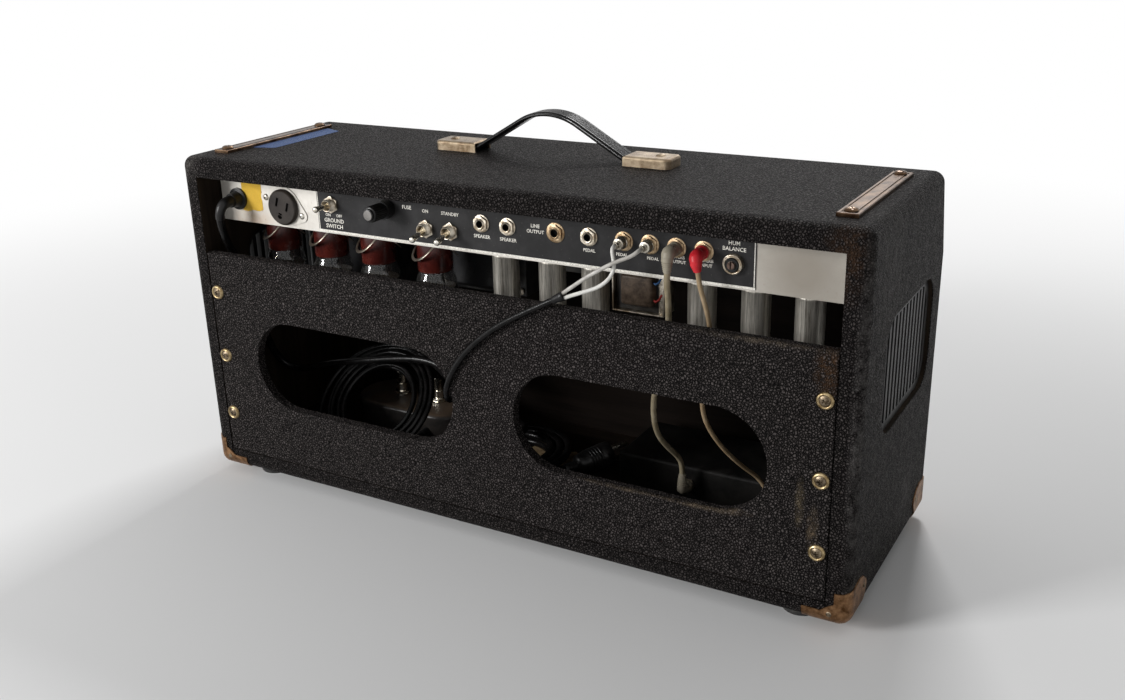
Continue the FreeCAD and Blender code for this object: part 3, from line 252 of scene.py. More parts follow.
def turns(centre, across, along, out, halves, start, step=30.0):
    """Control points of a coil: halves holds (half turns, radius, offset along out), joined evenly."""
    reach = 0.75 + 0.25 * math.cos(math.radians(step))
    points = []
    count = int(halves[-1][0] * 180 / abs(step))
    for i in range(1, count + 1):
        k = i * abs(step) / 180
        j = max(q for q in range(len(halves) - 1) if halves[q][0] <= k)
        (k0, r0, h0), (k1, r1, h1) = halves[j], halves[j + 1]
        f = (k - k0) / (k1 - k0)
        a = math.radians(start + i * step)
        r = (r0 + (r1 - r0) * f) / reach
        points.append(centre + across * r * math.cos(a) + along * r * math.sin(a) + out * (h0 + (h1 - h0) * f))
    return points


# The mains lead drops from its strain relief, crosses to the middle of the box, lies there in a flat
# coil of two layers, and ends in a moulded three-prong plug in front of the right cut-out.
X, BACK, UP = (1, 0, 0), (0, 1, 0), (0, 0, 1)
mains_out = (290, 100, 288)
mains_fall = [
    mains_out, (290, 107.5, 288), (291.2, 113.2, 282.5), (293.4, 113.6, 272), (296.5, 108, 257), (300, 99, 240),
    (302.5, 87, 224), (304, 76, 208), (304.5, 71, 190), (304.2, 67.5, 170), (305, 63, 150), (306.3, 56, 129),
    (306, 48.5, 112), (301, 41.5, 99), (289, 37, 93.5), (273, 35, 96.5), (253.5, 35, 103.6), (229.5, 35, 109.9),
    (204.8, 35, 115.5), (178, 35, 121.7), (154, 35, 126.7), (133, 35.5, 130.2), (112, 36, 131), (93, 36.5, 125),
    (78, 35.5, 111), (65, 32, 93), (54, 26, 75), (44, 16.5, 61), (37.5, 0.2, 54.5), (40.8, -18.3, 51.5),
    (55.3, -31.9, 50.2), (75.1, -33.6, 49.9), (90.3, -25.1, 45)]
low, high = 32.8, 41.2
mains_halves = [(0, 60.5, high + 3.3)]
mains_halves += [(k + 1, r, high) for k, r in enumerate((55.2, 52, 47, 43.7, 38.8, 34))]
mains_halves += [(k, r, low) for k, r in ((7, 34), (8, 39.6), (9, 43.4), (10, 47.9), (10.69, 51))]
mains_turns = turns(Vector((39, 9, 0)), Vector(X), Vector(BACK), Vector(UP), mains_halves, -24.3)
mains_end = [(18.4, 57.5, 32.8), (6.7, 52.4, 32.8), (-3.8, 46.6, 33), (-13.4, 39.2, 35), (-22.6, 31.2, 38.2),
             (-27.5, 22.6, 38.9)]
mains_lead = laid("mains_lead", mains_fall + mains_turns + mains_end, 3.8, black_jacket)
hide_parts("mains_cord", "mains_coil")

# The footswitch lead comes out of the splice of the two pigtails, hangs in front of the back panel's
# upper edge, goes in through the left cut-out to its leaning coil, and ends in the footswitch.
lead_start = (-76.5, 119.5, 245.2)
pedal_fall = [
    lead_start, (-44.7, 119.5, 228.8), (-14.7, 119.5, 210.3), (12.3, 119.5, 186.5), (29.3, 119.5, 163),
    (36.3, 119.3, 146.5), (39.5, 114.5, 136), (43, 105, 129), (50, 91, 124), (66, 69, 117), (84, 45, 110),
    (101, 23, 108), (136.7, 6.5, 117.4), (155.6, 1.8, 122)]
lean = math.radians(46)
pedal_radii = (65.5, 62.6, 63.5, 52.5, 58.0, 47.5, 54.0, 41.0, 43.5, 38.0, 41.0, 52.5, 46.0, 58.5, 53.0, 62.5, 60.2)
pedal_halves = [(min(k, 15.139), r, (2.95 if k < 9 else -2.95) + (0, 2.4, 0, -1.8)[k % 4])
                for k, r in enumerate(pedal_radii)]
pedal_turns = turns(Vector((178, 44, 77.1)), Vector(X), Vector((0, -math.sin(lean), math.cos(lean))),
                    Vector((0, math.cos(lean), math.sin(lean))), pedal_halves, 110.0, -30.0)
pedal_out = (142, 22, 41)
pedal_end = [(160.8, 84.5, 33.9), (149, 78, 35.2), (142.3, 67, 36.5), (140.8, 54, 38.2), (141.6, 41, 40),
             (142, 31, 41), pedal_out]
pedal_lead = laid("footswitch_lead", (pedal_fall + pedal_turns + pedal_end)[::-1], 2.6, black_jacket)
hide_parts("pedal_cord", "pedal_coil")

# Plugs and splice. Two straight nickel phono plugs with spring tails, a grey and a red moulded
# right-angle plug at the rear, their twins at the reverb tank, and the moulded splice of the pigtails.


def metal(name, dark, light, rough, wear=60.0, fine=900.0, pits=0.0001, **values):
    """Worn plated metal: blotches, fine scratches and small pits."""
    return mottled(name, dark, light, (0.38, 0.62), (wear, 8.0, 0.65), (rough - 0.08, rough + 0.14), (fine, 4.0),
                   pits, **{"Metallic": 1.0, **values})


def plastic(name, dark, light, rough):
    """Moulded plastic with faint mottling and dust."""
    return mottled(name, dark, light, (0.35, 0.68), (60.0, 8.0), (rough - 0.08, rough + 0.12), (1500.0, 2.0), 0.0001,
                   Specular_IOR_Level=0.24)


nickel = metal("aged_nickel", (0.42, 0.38, 0.31), (0.72, 0.69, 0.62), 0.26)
black_plastic = plastic("black_moulding", (0.005, 0.005, 0.005), (0.016, 0.015, 0.015), 0.30)
grey_plastic = plastic("grey_plug", (0.22, 0.195, 0.145), (0.36, 0.325, 0.255), 0.42)
red_plastic = plastic("red_plug", (0.42, 0.012, 0.02), (0.62, 0.025, 0.035), 0.34)


# Meshes in hand are drawn in millimetres
def circle(radius, sides, start=0.0):
    """Points (x, y) of a circle."""
    angles = (math.tau * (start + i) / sides for i in range(sides))
    return [(radius * math.cos(a), radius * math.sin(a)) for a in angles]


def skin(bm, rings, finish=0, caps=False):
    """Joins each ring of vertices to the next; a ring of one vertex closes them to a point."""
    for a, b in zip(rings, rings[1:]):
        sides = max(len(a), len(b))
        for i in range(sides if sides > 1 else 0):
            j = (i + 1) % sides
            corners = (a[i % len(a)], b[i % len(b)], b[j % len(b)], a[j % len(a)])
            bm.faces.new(list(dict.fromkeys(corners))).material_index = finish
    for ring in (rings[0][::-1], rings[-1]) if caps else ():
        bm.faces.new(ring).material_index = finish


def turn(bm, profile, at, axis=UP, finish=0, sides=32):
    """Adds a turned shape: profile is (radius, height) pairs, height along axis from at."""
    frame_of = Vector(axis).to_track_quat("Z", "Y").to_matrix()
    skin(bm, [[bm.verts.new(frame_of @ Vector((x, y, h)) + Vector(at))
               for x, y in (circle(r, sides) if r > 0.001 else [(0, 0)])] for r, h in profile], finish)


def made(name, bm, finishes=(), angle=35.0):
    """Turns the mesh in hand into an object, in metres."""
    bmesh.ops.recalc_face_normals(bm, faces=bm.faces)
    bm.transform(Matrix.Diagonal((0.001, 0.001, 0.001, 1)))
    mesh = bpy.data.meshes.new(name)
    bm.to_mesh(mesh)
    bm.free()
    for finish in finishes:
        mesh.materials.append(finish)
    mesh.polygons.foreach_set("use_smooth", [True] * len(mesh.polygons))
    mesh.set_sharp_from_angle(angle=math.radians(angle))
    obj = bpy.data.objects.new(name, mesh)
    scene.collection.objects.link(obj)
    return obj


def finished(name, bm, finishes, slot, *stands_for, body="amplifier", angle=35.0):
    """Turns the mesh in hand into a piece that rides on body."""
    obj = made(name, bm, finishes, angle)
    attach(obj, body)
    if stands_for:
        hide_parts(*stands_for)
    return obj


def tube_along(bm, points, radii, finish=0, sides=20):
    """Adds a round bar through points, with a radius at each, and flat ends."""
    points = [Vector(p) for p in points]
    last = len(points) - 1
    tangents = [(points[min(i + 1, last)] - points[max(i - 1, 0)]).normalized() for i in range(last + 1)]
    side = tangents[0].orthogonal().normalized()
    rings = []
    for p, t, r in zip(points, tangents, radii):
        side = (side - t * side.dot(t)).normalized()
        third = t.cross(side)
        rings.append([bm.verts.new(p + side * u + third * v) for u, v in circle(r, sides)])
    skin(bm, rings, finish, caps=True)


rear = 89.3                      # outer face of the rear plate
# The mains plug is one moulding with finger ridges, two plated blades and a round earth pin; where
# the lead leaves the chassis a tapered rubber sleeve guards its bend.
plug_turn = Vector(UP).rotation_difference(Vector((-0.4988, -0.8639, 0.0716))).to_matrix().to_4x4()
bm = bmesh.new()
grip = [(0, 0), (4.8, 0), (5, 0.5)]
for h in (1.2, 4, 6.8, 9.6):
    grip += [(5.2, h), (5.3, h + 1.6), (4.7, h + 1.9), (4.7, h + 2.5)]
grip += [(5.6, 12.4), (8.4, 13.6), (9.4, 15), (10.4, 19), (11.2, 23)]
for i in range(5):
    grip += [(11.5 + 0.2 * i + dr, 23.6 + 3.2 * i + dh) for dr, dh in ((0, 0), (0.3, 1.4), (-0.4, 2), (-0.3, 2.8))]
grip += [(12.8, 40.5), (13, 44), (13, 48.8), (12.7, 49.6), (12, 50), (0, 50)]
turn(bm, grip, (0, 0, 0), sides=48)
outline = [(-3.1, 49.5), (-3.1, 64.5), (-2.4, 65.6), (-1.2, 66)]
outline += [(-v, h) for v, h in outline[::-1]]
for u in (6.35, -6.35):
    skin(bm, [[bm.verts.new((u + w, v, h)) for v, h in outline] for w in (-0.7, 0.7)], 1, caps=True)
turn(bm, [(0, 49.5), (2.4, 49.5), (2.4, 66.8), (1.9, 68.2), (0.8, 69), (0, 69)], (0, 8.5, 0), UP, 1, 24)
bm.transform(Matrix.Translation((-27.5, 22.6, 38.9)) @ plug_turn)
mains_plug = finished("moulded_plug", bm, [black_plastic, nickel], "plug_rubber", "mains_plug")


def mesh_of(obj):
    """The mesh that an object's modifiers or curve make of it."""
    bpy.context.view_layer.update()
    return bpy.data.meshes.new_from_object(obj.evaluated_get(bpy.context.evaluated_depsgraph_get()))


bare = mains_lead.copy()
bare.data = mains_lead.data.copy()
bare.data.bevel_depth = 0
scene.collection.objects.link(bare)
read = mesh_of(bare)
line = [v.co * 1000 for v in read.vertices]
bpy.data.objects.remove(bare)
bpy.data.meshes.remove(read)
gone, steps = 0.0, 0
while gone <= 22:
    gone += (line[steps + 1] - line[steps]).length
    steps += 1
bm = bmesh.new()
tube_along(bm, line[:steps + 1], [5.6 - 1.4 * i / steps for i in range(steps + 1)], 0, 28)
sleeve = finished("relief_sleeve", bm, [black_plastic], "relief_plastic")

socket_row = 293
straight_plugs = []
for x, name in ((-126.5, "white_lead_plug"), (-149.5, "clear_lead_plug")):
    bm = bmesh.new()
    at = (x, rear + 1.8, socket_row)
    turn(bm, [(4.2, 0), (5.2, 0), (5.4, 0.8), (5.4, 3), (5, 3.4), (5, 7.4), (4.4, 8.6), (3, 9), (0, 9)], at, BACK)
    turn(bm, [(4.2, 0), (4.2, 6.2), (0, 6.2)], at, BACK, 1)
    spring = []
    for t in (i / 90 for i in range(91)):
        r, a = 2.65 * (1 - 0.22 * t), t * math.tau * 5
        spring.append((x + r * math.cos(a), at[1] + 8.6 + 5.8 * t, socket_row + r * math.sin(a)))
    tube_along(bm, spring, [0.42] * 91, 0, 6)
    straight_plugs.append(finished(name, bm, [nickel, black_plastic], "phono_nickel", "phono_plugs"))


def angle_plug(name, at, arm, reach, tail, finish, collar=5.4):
    """A moulded right-angle plug: a barrel with a grip ring, an elbow, and a ribbed tail along arm."""
    bm = bmesh.new()
    at, out, arm = Vector(at), Vector(BACK), Vector(arm)
    drop = arm.normalized()
    turn(bm, [(4.2, 0), (collar, 0), (collar + 0.3, 0.6), (collar + 0.3, 4), (collar - 0.2, 4.6),
              (collar - 0.3, reach - 6.2)], at, out)
    turn(bm, [(4.2, 0), (4.2, 6), (0, 6)], at, out, 1)
    corner = at + out * (reach - 0.5)
    bend = [corner - out * a + drop * b for a, b in ((6, 0), (3.4, 0.6), (1.2, 2.2), (0, 5))]
    tube_along(bm, bend, [collar + d for d in (-0.2, 0.2, 0, -0.8)], 0, 24)
    ribs = [(0, 3), (collar - 0.9, 3), (collar - 0.8, 4.5)]
    for f in (i / 6 for i in range(6)):
        r, h = (collar - 1) * (1 - f) + tail * f, 5.5 + (arm.length - 6) * f
        ribs += [(r + 0.3, h), (r + 0.3, h + 0.9), (r - 0.5, h + 1.1), (r - 0.5, h + 1.6)]
    ribs += [(tail, arm.length - 0.4), (tail - 0.5, arm.length), (0, arm.length)]
    turn(bm, ribs, corner, drop, 0, 24)
    return finished(name, bm, [finish, nickel], "phono_nickel", "phono_plugs")


grey_plug, red_plug, grey_tank_plug, red_tank_plug = (angle_plug(*row) for row in (
    ("grey_lead_plug", (-172.5, rear + 1.8, socket_row), (0, 0, -16), 16.2, 2.8, grey_plastic),
    ("red_lead_plug", (-195.5, rear + 1.8, socket_row), (-2.6, 0, -12), 16.2, 2.4, red_plastic),
    ("grey_tank_plug", (-149, 8.3, 44), (0, 0, 18), 13, 2.8, grey_plastic),
    ("red_tank_plug", (-241, 8.3, 44), (9.5, 0, 15.5), 13, 2.4, red_plastic)))

bm = bmesh.new()
turn(bm, [(0, 0.2), (2.7, 0), (3, 0.6), (3.3, 3), (3.8, 9), (4, 11.2), (3.6, 12), (0, 12)], lead_start,
     Vector((-0.883, 0, 0.469)).normalized(), 0, 24)
splice = finished("pigtail_splice", bm, [black_plastic], "cord_black", "phono_plugs")

# Pigtails of the footswitch lead, and the two reverb leads down to the tank
for name, width, finish, node, slot, length, plugs, points in (
        ("white_pigtail", 3.2, white_jacket, "pedal_cord", "cord_black", 0.0728, [straight_plugs[0]],
         [(-88, 119.5, 249.1), (-97.5, 119.3, 253.2), (-107, 118.7, 256.8), (-117.5, 117, 261), (-126, 115, 268),
          (-129.8, 112.9, 276.5), (-129.2, 112.6, 284), (-127.4, 111.6, 289.6), (-126.5, 109, 293),
          (-126.5, 106, 293)]),
        ("clear_pigtail", 3.2, clear_jacket, "pedal_cord", "cord_black", 0.0808, [straight_plugs[1]],
         [(-86.2, 119.5, 252.6), (-96.5, 119.3, 260.4), (-107, 118.6, 268), (-117, 118, 274.5), (-127, 117.2, 280.6),
          (-135.5, 116, 285), (-142.5, 115, 287.8), (-147.5, 113, 290.6), (-149.5, 109.5, 293), (-149.5, 106, 293)]),
        ("grey_reverb_lead", 5.0, beige_jacket, "reverb_cables", "lead_beige", 0.2406, [grey_plug, grey_tank_plug],
         [(-172.5, 106.8, 277), (-172.5, 107.1, 267), (-171.8, 103, 255), (-170.5, 99, 240), (-168, 94, 222),
          (-162.5, 86.5, 203), (-154, 79, 181), (-145, 71.5, 159), (-139.5, 62, 136), (-137.5, 51.5, 112),
          (-141.5, 38, 94), (-146.5, 26, 81), (-149, 21.2, 71), (-149, 20.8, 62)]),
        ("red_reverb_lead", 4.0, amber_jacket, "reverb_cables", "lead_beige", 0.2528, [red_plug, red_tank_plug],
         [(-198.1, 106.8, 281), (-199.7, 107.4, 272), (-202.3, 104.3, 259), (-205, 98.5, 240), (-204.5, 92, 214),
          (-198, 86, 188), (-191, 80, 163), (-190.8, 67, 136), (-200.5, 51.5, 109), (-212.5, 35.5, 88.5),
          (-221, 25.5, 77.5), (-226.5, 21.4, 67.7), (-231.5, 20.8, 59.5)])):
    piece = laid(name, points, width / 2, finish)
    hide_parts(node)

# Cabinet boards. Pine boards finger-jointed at the corners, with upright battens in the corners that
# carry the back panel and the baffle; inside, the wood is dark-stained, and its near-black colour is
# also painted shade for the dim inside of the box.


def stained(name, dark, light, grain_axis):
    """Wood whose grain runs along one axis of the object, from dark to light; its dark tones are also painted shade."""
    m, n, shader = material(name, Roughness=0.75, Specular_IOR_Level=0.05)
    along_grain = coordinates(n, tuple(0.08 if i == grain_axis else 1.6 for i in range(3)))
    ring = noise(n, 22.0, 6.0, 0.7, 0.6, along_grain)
    feed(shader, Base_Color=blend_colour(ring, dark, light, 0.36, 0.66))
    relief(ring, shader, 0.0006)
    return m


def coat(node, finish, *others):
    """Gives a CAD node its finish; others are pairs of a finish and a test of a face's centre."""
    mesh = nodes[node].data
    mesh.materials.clear()
    mesh.materials.append(finish)
    for k, (second, test) in enumerate(others):
        mesh.materials.append(second)
        for f in mesh.polygons:
            if test(f.center):
                f.material_index = k + 1


# Near-black boards: dark-stained wood, and painted shade for the dim inside of the box.
dark_and_shaded_pine = stained("dark_and_shaded_pine", (0.004, 0.003, 0.0025), (0.016, 0.011, 0.008), 0)
coat("top_board", dark_and_shaded_pine)
coat("bottom_board", dark_and_shaded_pine)
coat("side_boards", stained("dark_pine_upright", (0.012, 0.009, 0.007), (0.040, 0.029, 0.020), 2))
coat("front_baffle", stained("baffle_board", (0.004, 0.003, 0.0025), (0.014, 0.010, 0.008), 0))

# Vinyl covering. Black grained cloth-backed vinyl, glued over the shell and the back panel, rounded
# over every edge; it is scuffed at the corners, stained by the screws and dusty on top.


def mask_of(n, at, inner, outer, stretch=(1, 1, 1)):
    """1 near a place of the object, 0 beyond: a stretched ball with a soft rim."""
    far = add(n, "ShaderNodeVectorMath", {0: coordinates(n, stretch, at)}, operation="LENGTH")
    return blend_value(far.outputs["Value"], 1.0, 0.0, inner, outer)


def mixed(factor, a, b):
    """Mixes two colours by a factor output; a is an output, b a colour."""
    return add(a.id_data.nodes, "ShaderNodeMix", {0: factor, 6: a, 7: (*b, 1)}, data_type="RGBA").outputs[2]


def vinyl(name, spots, worn_sides=False, tone=1.0):
    """Pebbled vinyl with marks at the spots (place, inner, outer, stretch, colour), worn pale at its sides; tone scales
    the grain's colours.
    """
    m, n, shader = material(name, Specular_IOR_Level=0.035)
    warp = texture(n, "Noise", 210.0, Detail=2.0).outputs["Color"]
    shift = add(n, "ShaderNodeVectorMath", {0: warp, 1: (0.0024, 0.0024, 0.0024), 2: coordinates(n)},
                operation="MULTIPLY_ADD")
    cells = texture(n, "Voronoi", 440.0, shift.outputs["Vector"])
    cells.feature = "DISTANCE_TO_EDGE"
    pebble = blend_value(cells.outputs["Distance"], 0.0, 1.0, 0.03, 0.38)
    grain = calculate("ADD", pebble, calculate("MULTIPLY", noise(n, 900.0, 3.0), 0.25))
    # The grain is painted: near-black shade in its creases and a pale highlight on its ridges, over the black vinyl.
    crease_shade, ridge_highlight = (tuple(tone * c for c in rgb) for rgb in ((0.0025, 0.0022, 0.0022), (0.066, 0.058, 0.056)))
    colour = blend_colour(grain, crease_shade, ridge_highlight, 0.14, 0.78)
    dusty = blend_value(noise(n, 14.0, 8.0, 0.7), 0.0, 0.40, 0.52, 0.80)
    colour = mixed(calculate("MULTIPLY", dusty, pebble), colour, (0.046, 0.040, 0.037))
    rub = noise(n, 120.0, 8.0, 0.75)
    if worn_sides:
        part = add(n, "ShaderNodeSeparateXYZ", {0: coordinates(n)})
        size = add(n, "ShaderNodeMath", {0: part.outputs[0]}, operation="ABSOLUTE")
        near = blend_value(size.outputs[0], 0.0, 1.0, 0.3275, 0.3345)
        worn = calculate("MULTIPLY", near, blend_value(rub, 0.0, 0.9, 0.50, 0.68))
        colour = mixed(worn, colour, (0.115, 0.108, 0.100))
    for at, inner, outer, stretch, stain in spots:
        spot = calculate("MULTIPLY", mask_of(n, at, inner, outer, stretch), blend_value(rub, 0.0, 1.0, 0.40, 0.62))
        colour = mixed(spot, colour, stain)
    feed(shader, Base_Color=colour, Roughness=blend_value(grain, 0.62, 0.40))
    relief(grain, shader, 0.0030)
    return m


coat("vinyl_covering", vinyl("shell_vinyl", [
    ((-0.3150, 0.1165, 0.3080), 0.003, 0.020, (1, 1, 0.5), (0.060, 0.034, 0.020)),
    ((-0.3300, 0.0600, 0.2900), 0.010, 0.045, (1, 1, 0.6), (0.075, 0.070, 0.066)),
    ((0.3300, 0.1120, 0.3250), 0.006, 0.022, (1, 1, 1), (0.16, 0.15, 0.14)),
    # Two small dents in the top's rear band, painted near black: painted shade for their hollows.
    ((0.1945, 0.1165, 0.3205), 0.002, 0.006, (1, 1, 0.45), (0.004, 0.004, 0.004)),
    ((0.1800, 0.1165, 0.3205), 0.002, 0.006, (1, 1, 0.45), (0.004, 0.004, 0.004)),
    # A narrow pale strip down the rear right upright edge: a painted highlight.
    ((-0.3315, 0.1135, 0.1700), 0.0030, 0.0085, (1, 1, 0.045), (0.130, 0.122, 0.118)),
    ((-0.3335, -0.0400, 0.0550), 0.004, 0.030, (1, 1, 1), (0.10, 0.095, 0.09))], worn_sides=True))
# The back panel has the shell's vinyl made 1.4 times lighter: painted light.
coat("back_panel", vinyl("panel_vinyl_painted_lighter", [
    ((-0.3070, 0.1165, 0.2230), 0.004, 0.022, (1.6, 1, 0.8), (0.090, 0.048, 0.024)),
    ((-0.3010, 0.1165, 0.0900), 0.001, 0.006, (1, 1, 0.25), (0.16, 0.12, 0.08)),
    ((-0.2900, 0.1165, 0.1100), 0.001, 0.005, (1, 1, 0.20), (0.14, 0.11, 0.07)),
    ((-0.1350, 0.1165, 0.0905), 0.001, 0.0055, (0.10, 1, 1.0), (0.26, 0.20, 0.14)),
    ((-0.2050, 0.1165, 0.0905), 0.001, 0.0060, (0.12, 1, 1.0), (0.30, 0.23, 0.16)),
    ((-0.2540, 0.1165, 0.2395), 0.001, 0.0055, (0.07, 1, 1.0), (0.16, 0.13, 0.10))], tone=1.4))

# Grille cloth. Woven plastic-coated thread, silver with dark and blue-green strands, stretched over
# the baffle board and stapled behind it; a flat cut of cloth with its edges turned over.
weave, n, shader = material("grille_weave", Roughness=0.55, Sheen_Weight=0.3)
warp_and_weft = [texture(n, "Wave", 260.0, Distortion=0.6, Detail_Scale=40.0) for _ in range(2)]
bundle = texture(n, "Wave", 32.0)
for wave, direction in zip(warp_and_weft + [bundle], "XZX"):
    wave.bands_direction = direction
thread = calculate("MAXIMUM", *(wave.outputs["Fac"] for wave in warp_and_weft))
pale = blend_colour(thread, (0.05, 0.055, 0.06), (0.56, 0.55, 0.52), 0.35, 0.85)
pale = mixed(blend_value(bundle.outputs["Fac"], 0.0, 0.75, 0.80, 0.97), pale, (0.03, 0.05, 0.06))
feed(shader, Base_Color=pale)
relief(thread, shader, 0.0006)
low_c, high_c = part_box("grille_cloth")
rim_gap = 0.0003
width, depth, height = high_c - low_c
bm = bmesh.new()
columns, rows = 64, 24
grid = []
for i in range(columns + 1):
    for j in range(rows + 1):
        u, v = i / columns, j / rows
        crown = min(1.0, min(u * 2.4, (1 - u) * 2.4, v, 1 - v) * 60)
        grid.append(bm.verts.new((low_c.x + rim_gap + (width - 2 * rim_gap) * u,
                                  high_c.y - rim_gap - (depth - rim_gap) * crown ** 0.5,
                                  low_c.z + rim_gap + (height - 2 * rim_gap) * v)))
for i in range(columns):
    for j in range(rows):
        a, b = i * (rows + 1) + j, (i + 1) * (rows + 1) + j
        bm.faces.new((grid[a], grid[b], grid[b + 1], grid[a + 1]))
mesh = bpy.data.meshes.new("grille_sheet")
bm.to_mesh(mesh)
bm.free()
mesh.materials.append(weave)
mesh.polygons.foreach_set("use_smooth", [True] * len(mesh.polygons))
grille = bpy.data.objects.new("grille_sheet", mesh)
scene.collection.objects.link(grille)
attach(grille, "amplifier")
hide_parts("grille_cloth")

# Corner caps, straps and feet. Caps pressed from sheet steel, copper-brown with rust, held by nails;
# ribbed nickel straps over the chassis bolts; turned rubber feet screwed under the bottom board.
coat("corner_caps", metal("rusty_cap", (0.085, 0.040, 0.016), (0.31, 0.175, 0.090), 0.40, 110.0, 1200.0, 0.0003))
# The straps' nickel is tarnished brown, and its colour is also lowered as a painted reflection of dark surroundings.
tarnish_and_dark_reflection_nickel = metal("tarnish_and_dark_reflection_nickel", (0.035, 0.018, 0.010), (0.145, 0.092, 0.056), 0.30)
coat("chassis_straps", tarnish_and_dark_reflection_nickel)
coat("feet", mottled("foot_rubber", (0.014, 0.014, 0.014), (0.060, 0.057, 0.052), (0.45, 0.75), (160.0, 6.0),
                     depth=0.0003, Roughness=0.7))

# Screws, bolts and nails. Brass cup washers with sunk cross-head screws hold the back panel, oval-head
# bolts and screws hold the straps, the handle and the feet, and small nails hold the corner caps.
brass = metal("aged_brass", (0.15, 0.10, 0.045), (0.46, 0.36, 0.205), 0.30, 170.0, 1500.0)
dark_steel = metal("dark_steel", (0.05, 0.035, 0.02), (0.30, 0.24, 0.17), 0.38, 300.0)
pitted = metal("pitted_nickel", (0.115, 0.078, 0.046), (0.27, 0.215, 0.150), 0.32, 90.0, 2200.0, 0.0003)


def head(name, profile, recess=(), depth=0.0, sides=32):
    """A turned head on +Z, with bars of half sizes (x, y) cut into its crown."""
    bm = bmesh.new()
    turn(bm, profile, (0, 0, 0), sides=sides)
    obj = made(name, bm)
    if recess:
        bm = bmesh.new()
        top = max(h for r, h in profile if r == 0)
        for x, y in recess:
            size = Matrix.Diagonal((2 * x, 2 * y, 2 * depth, 1))
            bmesh.ops.create_cube(bm, size=1.0, matrix=Matrix.Translation((0, 0, top)) @ size)
        cutter = made(name + "_cut", bm)
        carve = obj.modifiers.new("recess", "BOOLEAN")
        carve.operation, carve.solver, carve.use_self = "DIFFERENCE", "EXACT", True
        carve.object = cutter
        carved = mesh_of(obj)
        obj.modifiers.clear()
        obj.data = carved
        bpy.data.objects.remove(cutter)
    obj.data.polygons.foreach_set("use_smooth", [True] * len(obj.data.polygons))
    obj.data.set_sharp_from_angle(angle=math.radians(35))
    return obj


def set_out(name, shape, places, facing, finish, seed):
    """Geometry Nodes: stands a copy of the shape on every place, turned by chance about facing."""
    tree = bpy.data.node_groups.new(name, "GeometryNodeTree")
    sockets = {label: tree.interface.new_socket(label, in_out="INPUT", socket_type="NodeSocket" + kind).identifier
               for label, kind in (("Geometry", "Geometry"), ("Shape", "Object"), ("Facing", "Vector"),
                                   ("Turn", "Float"), ("Seed", "Int"), ("Finish", "Material"))}
    tree.interface.new_socket("Geometry", in_out="OUTPUT", socket_type="NodeSocketGeometry")
    g = tree.nodes
    given = add(g, "NodeGroupInput").outputs
    info = add(g, "GeometryNodeObjectInfo", {"Object": given["Shape"]})
    aim = add(g, "FunctionNodeAlignRotationToVector", {"Vector": given["Facing"]}, axis="Z")
    on_points = add(g, "GeometryNodeInstanceOnPoints", {
        "Points": given["Geometry"], "Instance": info.outputs["Geometry"], "Rotation": aim.outputs["Rotation"]})
    chance = add(g, "FunctionNodeRandomValue", {3: given["Turn"], "Seed": given["Seed"]}, data_type="FLOAT")
    around = add(g, "ShaderNodeCombineXYZ", {"Z": chance.outputs[1]})
    spin = add(g, "GeometryNodeRotateInstances", {
        "Instances": on_points.outputs["Instances"], "Rotation": around.outputs["Vector"]})
    real = add(g, "GeometryNodeRealizeInstances", {"Geometry": spin.outputs["Instances"]})
    paint = add(g, "GeometryNodeSetMaterial", {"Geometry": real.outputs["Geometry"], "Material": given["Finish"]})
    add(g, "NodeGroupOutput", {"Geometry": paint.outputs["Geometry"]})
    mesh = bpy.data.meshes.new(name)
    mesh.from_pydata([metres(p) for p in places], [], [])
    obj = bpy.data.objects.new(name, mesh)
    scene.collection.objects.link(obj)
    setter = obj.modifiers.new(name, "NODES")
    setter.node_group = tree
    for label, value in (("Shape", shape), ("Facing", facing), ("Turn", math.tau), ("Seed", seed), ("Finish", finish)):
        setter[sockets[label]] = value
    stood = mesh_of(obj)
    obj.modifiers.clear()
    obj.data = stood
    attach(obj, "amplifier")
    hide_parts("fasteners")


back, top_face, half_width = 116.5, 331, 334.5
bm = bmesh.new()
turn(bm, [(3.8, 0.2), (4.3, 1.2), (4.9, 2), (5.5, 2.2), (6.3, 1.8), (7, 0.9), (7.25, 0)], (0, 0, 0), sides=48)
cup = made("cup", bm, angle=180)
if sum(f.normal.z for f in cup.data.polygons) < 0:
    cup.data.flip_normals()
sunk = head("sunk", [(0, -1), (4.4, -1), (4.4, 1.3), (3.4, 1.9), (2, 2.3), (0, 2.4)], ((2.1, 0.504), (0.504, 2.1)), 1.3)
oval = head("oval", [(0, 0), (5.6, 0), (5.7, 0.6), (5, 1.7), (3.7, 2.4), (1.8, 2.8), (0, 2.9)], ((6.8, 0.5),), 1.1)
dome = head("dome", [(0, -0.2), (4.5, -0.2), (4.5, 0.2), (3.6, 1.1), (1.8, 1.7), (0, 1.8)],
            ((1.9, 0.456), (0.456, 1.9)), 0.9)
nail = head("nail", [(0, -0.3), (2.3, -0.3), (2.3, 0.1), (1.7, 0.7), (0, 1)], sides=16)
foot_head = head("foot_head", [(0, 0), (5.8, 0), (5.8, 0.4), (4.2, 2.2), (0, 2.4)], ((2.4, 0.576), (0.576, 2.4)), 1.2)
panel_screws = [(x, back, z) for x in (305.5, -305.5) for z in (71.2, 133.1, 198.9)]
